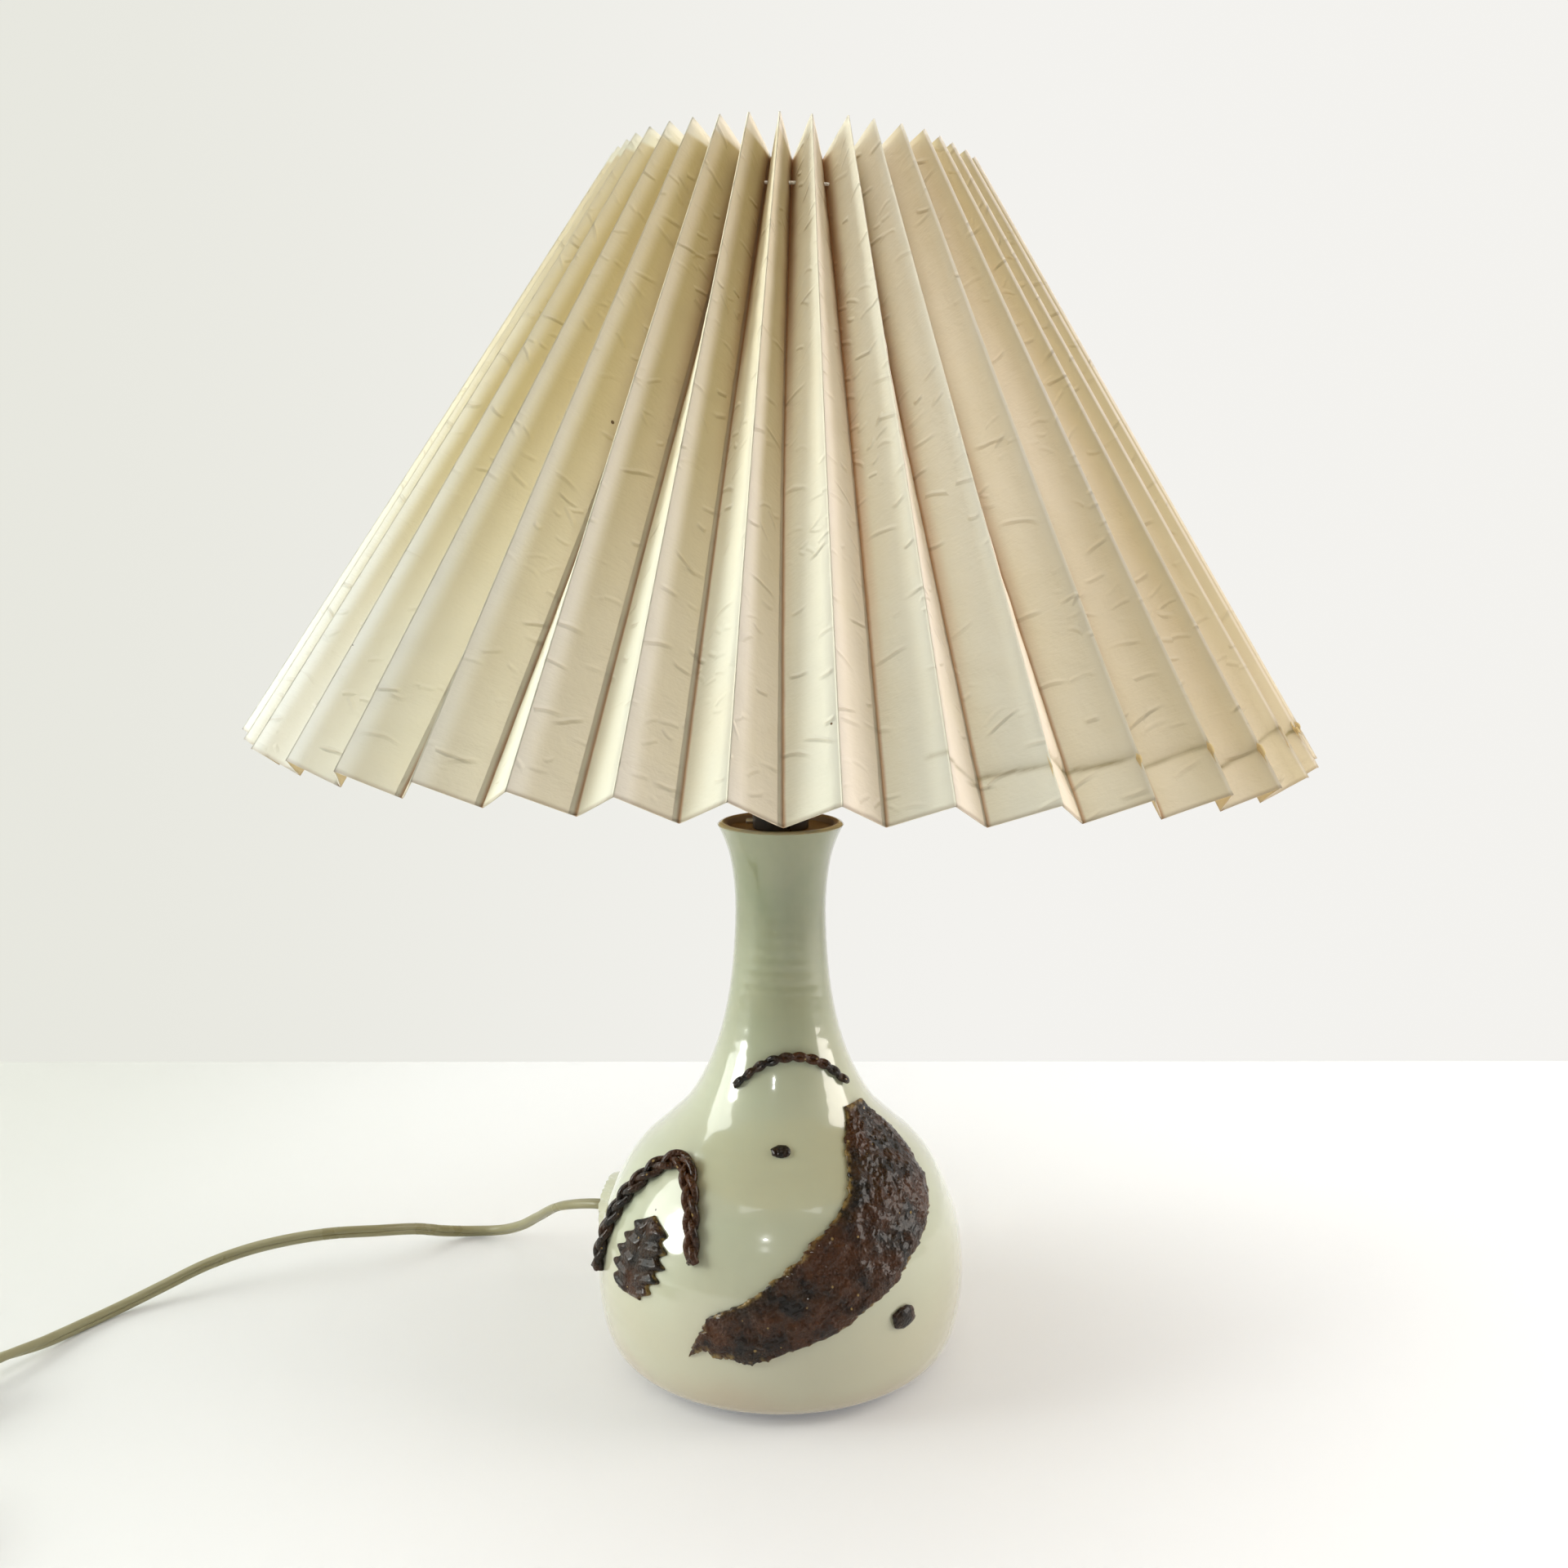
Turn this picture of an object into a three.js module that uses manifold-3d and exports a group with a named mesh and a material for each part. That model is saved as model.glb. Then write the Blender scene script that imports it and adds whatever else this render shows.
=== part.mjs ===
// A ceramic table lamp: a thrown bottle-shaped foot with applied relief, a black screw holder,
// a pleated shade that sits loosely on a wire carrier, and a flat two-core cord with a switch and a plug.
// Millimetres, +Z up, the origin on the table under the middle of the foot, the front towards -Y.

import * as THREE from "three";
import { mergeVertices } from "three/addons/utils/BufferGeometryUtils.js";
import Module from "manifold-3d";

const wasm = await Module();
wasm.setup();

// Clearances that many pieces share
const gap = 0.3;
const overrun = 2;

// Foot and body, in real sizes
const feltThickness = 2;
const feltInset = 1.7;
const bodyHeight = 218.5;
const bellyRadius = 75.3;
const bodyWall = 5;
const footRingWidth = 8.5;
const footRingHeight = 3;
const floorThickness = 6;
const accessHoleRadius = 24;
const lipWidth = 4;
const lipRise = 0.9;
const webRecess = 2;
const webThickness = 6;
const bodySegments = 36;
const bodyRings = 22;
const holderSegments = 24;

// The body's outline from the foot up: share of the body's height, share of the belly's radius
const bodyOutlineShares = [
  [0, 0.78],
  [0.0055, 0.835],
  [0.026, 0.922],
  [0.054, 0.962],
  [0.09, 0.986],
  [0.136, 1],
  [0.191, 0.997],
  [0.246, 0.972],
  [0.301, 0.918],
  [0.356, 0.838],
  [0.392, 0.757],
  [0.429, 0.64],
  [0.475, 0.508],
  [0.53, 0.412],
  [0.594, 0.338],
  [0.676, 0.281],
  [0.7675, 0.25],
  [0.868, 0.243],
  [0.941, 0.27],
  [0.978, 0.305],
  [1, 0.335],
];

// The raised pad at the rear left, where the cord comes out through a rubber bush
const padAngle = THREE.MathUtils.degToRad(161);
const padHeight = 48.5;
const padRadius = 15.5;
const padRise = 2.6;
const padChamfer = 1.2;
const bushWall = 1.4;
const bushFlange = 2.3;
const bushFlangeThickness = 1.2;
const bushLength = 11;

// Hardware in the neck
const nippleRadius = 5;
const nippleBore = 3.6;
const nippleBelowWeb = 12;
const nippleAboveWeb = 12;
const washerRadius = 11;
const washerThickness = 1.5;
const nutRadius = 9;
const nutThickness = 4;

// The black screw holder
const holderFootRadius = 11.15;
const holderFootHeight = 7;
const holderRadius = 19.6;
const holderWall = 2;
const holderCapHeight = 27;
const holderFlareHeight = 10;
const holderThreadHeight = 9;
const grubRadius = 1.1;
const grubHeight = 2.6;
const grubProjection = 2.6;
const insertThickness = 7.4;
const insertPedestal = 2;
const insertPedestalRadius = 9;
const shellRadius = 14.2;
const shellWall = 0.6;
const shellHeight = 22;
const contactWidth = 3;
const contactThickness = 0.5;
const contactReach = 7;
const contactSpring = 2.2;
const terminalRadius = 2.4;
const terminalThickness = 2;
const terminalSpread = 8;
const skirtHeight = 30;
const skirtBore = 15.2;
const shoulderRadius = 22.5;
const shoulderHeight = 3;
const shoulderThickness = 2;
const ringNutRadius = 27.5;
const ringNutHubRadius = 23;
const ringNutFlange = 2.5;
const ringNutHeight = 8;

// The bulb
const bulbCapRadius = 13.1;
const bulbCapHeight = 22;
const bulbTipRadius = 4.5;
const bulbTipHeight = 1;
const bulbInsulatorRadius = 9.5;
const bulbInsulatorHeight = 1.6;
const bulbNeckRadius = 13.5;
const bulbRadius = 30;
const bulbGlassHeight = 82;
const bulbGlassWall = 1.2;
const bulbCapWall = 0.6;
const bulbShoulder = THREE.MathUtils.degToRad(-38);
const bulbBends = 7;
const stemHeight = 46;
const stemFlareRadius = 9;
const stemFlareHeight = 10;
const stemRadius = 3.2;
const filamentRadius = 0.5;
const filamentSpread = 13;
const filamentRise = 23;

// The wire carrier of the shade
const collarRadius = 30.6;
const collarThickness = 1.5;
const collarClearance = 0.5;
const wireRadius = 1.25;
const armCount = 3;
const armTurn = THREE.MathUtils.degToRad(30);
const armWaistRadius = 36;
const armWaistRise = 44;
const armStraight = 5;
const carrierRingDrop = 36;

// The pleated shade
const pleatCount = 42;
const pleatWidth = 20;
const shadeBottomRadius = 207.5;
const shadeTopRadius = 69.5;
const shadeBottomHeight = 259.3;
const shadeTopHeight = 471.8;
const shadeSheet = 0.6;
const shadeLevels = 2;
const shadeLean = THREE.MathUtils.degToRad(2);
const shadeLeanTowards = THREE.MathUtils.degToRad(38);
const stringRadius = 0.6;
const stringDrop = 21;
const stringFromValley = 3.2;

// The relief that is laid on the front of the body, over a thin bed of slip
const reliefBed = 0.45;
const crustThickness = 2.4;
const crustEdge = 1.1;
const crustBump = 0.8;
const crustRows = 21;
const crustColumns = 10;
const crustTopFade = 0.125;
const crustBumpsDown = 19;
const crustBumpsAcross = 13;
const crustBumpsSkew = 5;
const ropeRadius = 3.3;
const thinRopeRadius = 1.8;
const leafThickness = 2.6;
const leafEdge = 1;
const leafRows = 8;
const leafColumns = 6;
const leafNarrowShare = 0.35;
const leafSwellFromShare = 0.12;
const leafSwellSpanShare = 0.76;
const leafSweepDegrees = 4;
const pelletRadius = 3;
const pelletDegrees = 0;
const pelletRiseShare = 0.45;
const lowPelletRadius = 4.6;
const lowPelletDegrees = 38;
const lowPelletRiseShare = 0.18;
const pelletFlatShare = 0.45;
const pelletSides = 10;
const pelletRows = 6;

// The flat cord, as one round tube of about the same bulk
const cordRadius = 2.5;
const cordSides = 8;
const coilSides = 6;

// The switch on the cord
const switchLength = 56;
const switchWidth = 26;
const switchHalfHeight = 8;
const switchWall = 2;
const switchCavityLength = 38;
const switchCornerRadius = 9;
const rockerLength = 14;
const rockerWidth = 8.4;
const rockerFoot = 1.6;
const rockerRise = 5.4;
const rockerDip = 1.1;
const rockerPinRadius = 1;
const rockerPinHeight = 12.4;
const rockerTilt = THREE.MathUtils.degToRad(7);
const windowClearance = 1;
const switchScrewRadius = 1.8;
const switchScrewHead = 1;
const switchScrewSpread = 22;
const switchContactLength = 20;
const switchContactWidth = 4;
const switchContactThickness = 0.6;

// The coil of spare cord and its tie
const coilTurns = 6;
const coilInnerRadius = 24;
const coilPitch = 6;
const coilLayerPitch = 5.6;
const coilStepsPerTurn = 24;
const tieThickness = 1;
const tieWidth = 7;
const tieAngle = THREE.MathUtils.degToRad(-60);

// The two-pin plug
const plugWidth = 35;
const plugLength = 34;
const plugThickness = 13.6;
const plugNoseShare = 0.62;
const bootLength = 13;
const bootRadius = 4.4;
const bootTipRadius = 3.4;
const pinRadius = 2;
const pinLength = 19;
const pinSpread = 9.3;
const plugAside = -2;
const plugAhead = 34;

// Places that follow from the sizes above
const footHeight = feltThickness + gap;
const lipHeight = footHeight + bodyHeight;
const webTop = lipHeight - webRecess;
const webUnderside = webTop - webThickness;
const floorTop = footHeight + footRingHeight + floorThickness;
const holderBase = webTop + gap;
const insertBase = holderBase + holderCapHeight - insertThickness - gap;
const insertTop = insertBase + insertThickness;
const skirtBase = holderBase + holderCapHeight + gap;
const shoulderTop = skirtBase + shoulderHeight + shoulderThickness;
const collarBase = shoulderTop + gap + shoulderRadius * Math.tan(shadeLean);
const collarTop = collarBase + collarThickness;
const ringNutBase = collarTop + gap + ringNutRadius * Math.tan(shadeLean);
const contactTop = insertTop + insertPedestal + gap + contactThickness + contactSpring;
const bulbTipBase = contactTop + gap;
const bulbInsulatorBase = bulbTipBase + bulbTipHeight + gap;
const bulbCapBase = bulbInsulatorBase + bulbInsulatorHeight + gap;
const bulbGlassBase = bulbCapBase + bulbCapHeight + gap;

function point(x, y, z) {
  return new THREE.Vector3(x, y, z);
}

function flat(x, y) {
  return new THREE.Vector2(x, y);
}

function finish(color, roughness, metalness = 0) {
  return new THREE.MeshStandardMaterial({ color, roughness, metalness });
}

// Keeps only the positions, merges shared points, drops empty triangles and turns the faces outwards
function closedSolid(geometry) {
  const source = geometry.clone();
  for (const name of Object.keys(source.attributes)) {
    if (name !== "position") source.deleteAttribute(name);
  }
  const merged = mergeVertices(source);
  const place = merged.getAttribute("position");
  const corners = merged.getIndex().array;
  const kept = [];
  let volume = 0;
  const [a, b, c] = [point(0, 0, 0), point(0, 0, 0), point(0, 0, 0)];
  for (let i = 0; i < corners.length; i += 3) {
    const [i0, i1, i2] = [corners[i], corners[i + 1], corners[i + 2]];
    if (i0 === i1 || i1 === i2 || i2 === i0) continue;
    kept.push([i0, i1, i2]);
    a.fromBufferAttribute(place, i0);
    b.fromBufferAttribute(place, i1);
    c.fromBufferAttribute(place, i2);
    volume += a.dot(b.cross(c));
  }
  const outward = volume < 0 ? kept.map(([i0, i1, i2]) => [i0, i2, i1]) : kept;
  merged.setIndex(outward.flat());
  merged.computeVertexNormals();
  return merged;
}

function asManifold(geometry) {
  const closed = closedSolid(geometry);
  const vertProperties = new Float32Array(closed.getAttribute("position").array);
  const triVerts = new Uint32Array(closed.getIndex().array);
  return new wasm.Manifold(new wasm.Mesh({ numProp: 3, vertProperties, triVerts }));
}

function asGeometry(manifold) {
  const result = manifold.getMesh();
  const geometry = new THREE.BufferGeometry();
  geometry.setAttribute("position", new THREE.BufferAttribute(new Float32Array(result.vertProperties), 3));
  geometry.setIndex(Array.from(result.triVerts));
  return closedSolid(geometry);
}

function cut(geometry, ...tools) {
  let body = asManifold(geometry);
  for (const tool of tools) body = body.subtract(asManifold(tool));
  return asGeometry(body);
}

function join(geometry, ...others) {
  let body = asManifold(geometry);
  for (const other of others) body = body.add(asManifold(other));
  return asGeometry(body);
}

// A body of revolution about Z; a profile off the axis closes on itself
function turned(profile, segments) {
  const closes = profile[0].x > 0;
  const outline = closes ? [...profile, profile[0].clone()] : profile;
  const geometry = new THREE.LatheGeometry(outline, segments);
  geometry.rotateX(Math.PI / 2);
  return closedSolid(geometry);
}

function turnedRing(innerRadius, outerRadius, bottom, top, segments) {
  const profile = [
    flat(innerRadius, bottom),
    flat(outerRadius, bottom),
    flat(outerRadius, top),
    flat(innerRadius, top),
  ];
  return turned(profile, segments);
}

function turnedDisc(radius, bottom, top, segments) {
  return turned([flat(0, bottom), flat(radius, bottom), flat(radius, top), flat(0, top)], segments);
}

function wireRing(ringRadius, tubeRadius, sides, segments) {
  const profile = [];
  for (let i = 0; i < sides; i += 1) {
    const angle = (2 * Math.PI * i) / sides;
    profile.push(flat(ringRadius + tubeRadius * Math.cos(angle), tubeRadius * Math.sin(angle)));
  }
  return turned(profile, segments);
}

function block(length, width, height) {
  const geometry = new THREE.BoxGeometry(length, width, height);
  geometry.translate(0, 0, height / 2);
  return closedSolid(geometry);
}

function roundSection(radius, sides) {
  const corners = [];
  for (let i = 0; i < sides; i += 1) {
    const angle = (2 * Math.PI * (i + 1 / 2)) / sides;
    corners.push(flat(radius * Math.cos(angle), radius * Math.sin(angle)));
  }
  return new THREE.Shape(corners);
}

function tube(points, radius, sides, steps) {
  const extrudePath = new THREE.CatmullRomCurve3(points, false, "centripetal");
  const options = { steps, bevelEnabled: false, extrudePath };
  return closedSolid(new THREE.ExtrudeGeometry(roundSection(radius, sides), options));
}

function plate(shape, thickness, curveSegments = 4) {
  const options = { depth: thickness, bevelEnabled: false, curveSegments };
  return closedSolid(new THREE.ExtrudeGeometry(shape, options));
}

function roundedRectangle(length, width, radius) {
  const [x, y] = [length / 2, width / 2];
  const shape = new THREE.Shape();
  shape.moveTo(-x + radius, -y);
  shape.lineTo(x - radius, -y);
  shape.absarc(x - radius, -y + radius, radius, -Math.PI / 2, 0, false);
  shape.lineTo(x, y - radius);
  shape.absarc(x - radius, y - radius, radius, 0, Math.PI / 2, false);
  shape.lineTo(-x + radius, y);
  shape.absarc(-x + radius, y - radius, radius, Math.PI / 2, Math.PI, false);
  shape.lineTo(-x, -y + radius);
  shape.absarc(-x + radius, -y + radius, radius, Math.PI, (3 * Math.PI) / 2, false);
  return shape;
}

const lamp = new THREE.Group();
const topGroup = new THREE.Group();
const topInner = new THREE.Group();
const switchGroup = new THREE.Group();

function add(name, geometry, material, parent = lamp) {
  const mesh = new THREE.Mesh(geometry, material);
  mesh.name = name;
  parent.add(mesh);
  return mesh;
}

// The body's outline in millimetres, and the radius and the outward normal at a height
const outlineKnots = bodyOutlineShares.map(([rise, reach]) => {
  return point(reach * bellyRadius, footHeight + rise * bodyHeight, 0);
});
const outlineCurve = new THREE.CatmullRomCurve3(outlineKnots, false, "centripetal");
const bodyOutline = outlineCurve.getSpacedPoints(bodyRings).map((knot) => flat(knot.x, knot.y));

function outlineAt(height) {
  const last = bodyOutline.length - 2;
  let i = 0;
  while (i < last && bodyOutline[i + 1].y < height) i += 1;
  const [low, high] = [bodyOutline[i], bodyOutline[i + 1]];
  const share = (height - low.y) / (high.y - low.y);
  const along = high.clone().sub(low).normalize();
  return { radius: low.x + share * (high.x - low.x), normal: flat(along.y, -along.x) };
}

// A place over the body: degrees to the right of the front, a height, and how far it stands off
function overBody(degrees, height, lift) {
  const { radius, normal } = outlineAt(height);
  const reach = radius + normal.x * lift;
  const turn = THREE.MathUtils.degToRad(degrees);
  return point(reach * Math.sin(turn), -reach * Math.cos(turn), height + normal.y * lift);
}

const padFace = outlineAt(padHeight).radius + padRise;
const cordBore = cordRadius + gap;
const bushBore = cordBore + bushWall + gap;
const cordExitRadius = padFace + gap + bushFlangeThickness;
const padOut = point(Math.cos(padAngle), Math.sin(padAngle), 0);

// Turns a solid made along +Z so that it points out of the pad
function alongPad(geometry) {
  geometry.rotateY(Math.PI / 2);
  geometry.rotateZ(padAngle);
  geometry.translate(0, 0, padHeight);
  return geometry;
}

function ceramicBody() {
  const lipOuter = bodyOutline[bodyOutline.length - 1].x;
  const lipInner = lipOuter - lipWidth;
  const footOuter = bodyOutline[0].x;
  const footInner = footOuter - footRingWidth;
  const profile = [...bodyOutline];
  profile.push(flat(lipOuter - lipWidth / 4, lipHeight + lipRise));
  profile.push(flat(lipOuter - (3 * lipWidth) / 4, lipHeight + lipRise));
  profile.push(flat(lipInner, lipHeight));
  profile.push(flat(lipInner, webTop));
  profile.push(flat(nippleRadius + gap, webTop));
  profile.push(flat(nippleRadius + gap, webUnderside));
  profile.push(flat(outlineAt(webUnderside).radius - bodyWall, webUnderside));
  for (let i = bodyOutline.length - 2; i > 0; i -= 2) {
    const { x, y } = bodyOutline[i];
    if (y < webUnderside - bodyWall / 2 && y > floorTop + bodyWall) profile.push(flat(x - bodyWall, y));
  }
  profile.push(flat(outlineAt(floorTop).radius - bodyWall * 2, floorTop));
  profile.push(flat(accessHoleRadius, floorTop));
  profile.push(flat(accessHoleRadius, floorTop - floorThickness));
  profile.push(flat(footInner, floorTop - floorThickness));
  profile.push(flat(footInner, footHeight));
  const pad = turned([
    flat(0, padFace - padRise - bodyWall / 2),
    flat(padRadius, padFace - padRise - bodyWall / 2),
    flat(padRadius, padFace - padChamfer),
    flat(padRadius - padChamfer, padFace),
    flat(0, padFace),
  ], 24);
  const hole = turnedDisc(bushBore, padFace - bodyWall - padRise - overrun, padFace + overrun, 16);
  return cut(join(turned(profile, bodySegments), alongPad(pad)), alongPad(hole));
}

function feltRing() {
  const outer = bodyOutline[0].x - feltInset;
  const inner = bodyOutline[0].x - footRingWidth + feltInset / 2;
  return turnedRing(inner, outer, 0, feltThickness, bodySegments);
}

add("ceramic_body", ceramicBody(), finish(0xc9cdb4, 0.12));
add("felt_ring", feltRing(), finish(0x3a2f28, 0.95));

// A patch of relief: a grid between a left and a right edge, thickest in the middle
function reliefPatch(heights, leftEdge, rightEdge, columns, thicknessAt) {
  const rows = heights.length;
  const points = [];
  for (const layer of [0, 1]) {
    for (let row = 0; row < rows; row += 1) {
      for (let column = 0; column <= columns; column += 1) {
        const share = column / columns;
        const left = leftEdge(row / (rows - 1));
        const right = rightEdge(row / (rows - 1));
        const lift = reliefBed + layer * thicknessAt(row / (rows - 1), share);
        points.push(overBody(left + share * (right - left), heights[row], lift));
      }
    }
  }
  const at = (layer, row, column) => layer * rows * (columns + 1) + row * (columns + 1) + column;
  const triangles = [];
  const quad = (a, b, c, d) => triangles.push(a, b, c, a, c, d);
  for (let row = 0; row < rows - 1; row += 1) {
    for (let column = 0; column < columns; column += 1) {
      quad(at(1, row, column), at(1, row + 1, column), at(1, row + 1, column + 1), at(1, row, column + 1));
      quad(at(0, row, column), at(0, row, column + 1), at(0, row + 1, column + 1), at(0, row + 1, column));
    }
    quad(at(0, row, 0), at(0, row + 1, 0), at(1, row + 1, 0), at(1, row, 0));
    quad(at(0, row, columns), at(1, row, columns), at(1, row + 1, columns), at(0, row + 1, columns));
  }
  for (let column = 0; column < columns; column += 1) {
    quad(at(0, 0, column), at(1, 0, column), at(1, 0, column + 1), at(0, 0, column + 1));
    const last = rows - 1;
    quad(at(0, last, column), at(0, last, column + 1), at(1, last, column + 1), at(1, last, column));
  }
  const geometry = new THREE.BufferGeometry();
  const places = new Float32Array(points.flatMap((place) => place.toArray()));
  geometry.setAttribute("position", new THREE.BufferAttribute(places, 3));
  geometry.setIndex(triangles);
  return closedSolid(geometry);
}

function steps(from, to, count) {
  return Array.from({ length: count }, (_, i) => from + ((to - from) * i) / (count - 1));
}

// Reads a hand-set table of [share, value] pairs between its rows
function between(table, share) {
  let i = 0;
  while (i < table.length - 2 && table[i + 1][0] < share) i += 1;
  const [[low, from], [high, to]] = [table[i], table[i + 1]];
  return from + ((share - low) / (high - low)) * (to - from);
}

// The crust's edges from the right shoulder down to its lower left end: share of its height, degrees
const crustTopShare = 0.5;
const crustFootShare = 0.135;
const crustLeftDegrees = [
  [0, 46],
  [0.16, 34],
  [0.34, 23],
  [0.5, 8],
  [0.66, -5],
  [0.82, -21],
  [1, -27],
];
const crustRightDegrees = [
  [0, 64],
  [0.16, 75],
  [0.34, 68],
  [0.5, 57],
  [0.66, 40],
  [0.82, 23],
  [1, -6],
];

function reliefCrust() {
  const top = footHeight + crustTopShare * bodyHeight;
  const foot = footHeight + crustFootShare * bodyHeight;
  const thicknessAt = (down, across) => {
    const middle = Math.sin(Math.PI * across) * Math.sin(Math.PI * Math.min(down + crustTopFade, 1));
    const ripple = Math.cos(crustBumpsAcross * across + crustBumpsSkew * down);
    const bumps = crustBump * Math.sin(crustBumpsDown * down) * ripple;
    return crustEdge + (crustThickness - crustEdge + bumps) * Math.max(middle, 0);
  };
  const left = (down) => between(crustLeftDegrees, down);
  const right = (down) => between(crustRightDegrees, down);
  return reliefPatch(steps(top, foot, crustRows), left, right, crustColumns, thicknessAt);
}

// Points of a rope that lies on the body: degrees right of the front, share of the body's height
const archRopeShares = [
  [-72, 0.19],
  [-69, 0.29],
  [-60, 0.38],
  [-46, 0.415],
  [-33, 0.37],
  [-27, 0.285],
];
const garlandRopeShares = [
  [56, 0.535],
  [38, 0.575],
  [12, 0.595],
  [-16, 0.58],
  [-36, 0.54],
];

function reliefRope(table, radius, sides, count) {
  const knots = table.map(([degrees, rise]) => point(degrees, rise * bodyHeight, 0));
  const track = new THREE.CatmullRomCurve3(knots);
  const route = track.getPoints(count).map(({ x, y }) => overBody(x, footHeight + y, radius + 2 * gap));
  return tube(route, radius, sides, count);
}

// A lobed leaf under the arch of rope
const leafTopShare = 0.335;
const leafFootShare = 0.195;
const leafMiddleDegrees = -47;
const leafHalfDegrees = 10;

function reliefLeaf() {
  const top = footHeight + leafTopShare * bodyHeight;
  const foot = footHeight + leafFootShare * bodyHeight;
  const spread = (down) => {
    const swell = Math.sin(Math.PI * (leafSwellFromShare + leafSwellSpanShare * down));
    return leafHalfDegrees * (leafNarrowShare + (1 - leafNarrowShare) * swell);
  };
  const thicknessAt = (down, across) => {
    return leafEdge + (leafThickness - leafEdge) * Math.sin(Math.PI * across) * Math.sin(Math.PI * down);
  };
  const left = (down) => leafMiddleDegrees - spread(down) - leafSweepDegrees * down;
  const right = (down) => leafMiddleDegrees + spread(down) - leafSweepDegrees * down;
  return reliefPatch(steps(top, foot, leafRows), left, right, leafColumns, thicknessAt);
}

// A flattened ball of clay, its round side outwards
function reliefPellet(degrees, riseShare, radius) {
  const height = footHeight + riseShare * bodyHeight;
  const { normal } = outlineAt(height);
  const geometry = new THREE.SphereGeometry(radius, pelletSides, pelletRows);
  geometry.rotateX(Math.PI / 2);
  geometry.scale(1, 1, pelletFlatShare);
  geometry.rotateX(Math.PI / 2 - Math.atan2(normal.y, normal.x));
  geometry.rotateZ(THREE.MathUtils.degToRad(degrees));
  const place = overBody(degrees, height, radius * pelletFlatShare + gap);
  geometry.translate(place.x, place.y, place.z);
  return closedSolid(geometry);
}

const crustColor = 0x2a1a12;
add("relief_crust", reliefCrust(), finish(crustColor, 0.2));
add("relief_rope_arch", reliefRope(archRopeShares, ropeRadius, 8, 26), finish(crustColor, 0.2));
add("relief_rope_garland", reliefRope(garlandRopeShares, thinRopeRadius, 6, 20), finish(crustColor, 0.2));
add("relief_leaf", reliefLeaf(), finish(crustColor, 0.25));
const highPellet = reliefPellet(pelletDegrees, pelletRiseShare, pelletRadius);
add("relief_pellet_high", highPellet, finish(crustColor, 0.25));
const lowPellet = reliefPellet(lowPelletDegrees, lowPelletRiseShare, lowPelletRadius);
add("relief_pellet_low", lowPellet, finish(crustColor, 0.25));

function threadedNipple() {
  return turnedRing(nippleBore, nippleRadius, webUnderside - nippleBelowWeb, webTop + nippleAboveWeb, 20);
}

function neckWasher() {
  const top = webUnderside - gap;
  return turnedRing(nippleRadius + gap, washerRadius, top - washerThickness, top, 20);
}

function neckNut() {
  const top = webUnderside - gap - washerThickness - gap;
  const outer = turnedDisc(nutRadius, top - nutThickness, top, 6);
  const bore = turnedDisc(nippleRadius + gap, top - nutThickness - overrun, top + overrun, 20);
  return cut(outer, bore);
}

add("neck_nipple", threadedNipple(), finish(0xb9a878, 0.35, 0.9));
add("neck_washer", neckWasher(), finish(0xa9abad, 0.4, 0.9));
add("neck_nut", neckNut(), finish(0xb9a878, 0.35, 0.9));

function holderCap() {
  const flareTop = holderBase + holderFootHeight + holderFlareHeight;
  const innerRadius = holderRadius - holderWall;
  const profile = [
    flat(nippleRadius + gap, holderBase),
    flat(holderFootRadius, holderBase),
    flat(holderFootRadius, holderBase + holderFootHeight),
    flat(holderRadius, flareTop),
    flat(holderRadius, holderBase + holderCapHeight),
    flat(innerRadius, holderBase + holderCapHeight),
    flat(innerRadius, flareTop + holderWall / 2),
    flat(holderFootRadius - holderWall, holderBase + holderThreadHeight),
    flat(nippleRadius + gap, holderBase + holderThreadHeight),
  ];
  const grubHole = turnedDisc(grubRadius + gap, 0, holderFootRadius + overrun, 12);
  grubHole.rotateY(-Math.PI / 2);
  grubHole.translate(0, 0, holderBase + grubHeight);
  return cut(turned(profile, holderSegments), grubHole);
}

function grubScrew() {
  const geometry = turnedDisc(grubRadius, nippleRadius + gap, holderFootRadius + grubProjection, 10);
  geometry.rotateY(-Math.PI / 2);
  geometry.translate(0, 0, holderBase + grubHeight);
  return geometry;
}

function holderInsert() {
  const radius = holderRadius - holderWall - gap;
  const profile = [
    flat(0, insertBase),
    flat(radius, insertBase),
    flat(radius, insertTop),
    flat(insertPedestalRadius, insertTop),
    flat(insertPedestalRadius, insertTop + insertPedestal),
    flat(0, insertTop + insertPedestal),
  ];
  return turned(profile, holderSegments);
}

function screwShell() {
  const base = insertTop + gap;
  return turnedRing(shellRadius - shellWall, shellRadius, base, base + shellHeight, holderSegments);
}

// A springy tongue that lies on the insert and rises to meet the bulb's tip
function centreContact() {
  const base = insertTop + insertPedestal + gap;
  const rise = base + contactSpring;
  const outline = new THREE.Shape([
    flat(-contactReach, base),
    flat(-contactReach / 2, base),
    flat(contactReach / 4, rise),
    flat(contactReach / 4, rise + contactThickness),
    flat(-contactReach / 2, base + contactThickness),
    flat(-contactReach, base + contactThickness),
  ]);
  const geometry = plate(outline, contactWidth);
  geometry.translate(0, 0, -contactWidth / 2);
  geometry.rotateX(Math.PI / 2);
  return geometry;
}

function terminalScrew(side) {
  const top = insertBase - gap;
  const geometry = turnedDisc(terminalRadius, top - terminalThickness, top, 12);
  geometry.translate(side * terminalSpread, 0, 0);
  return geometry;
}

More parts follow.
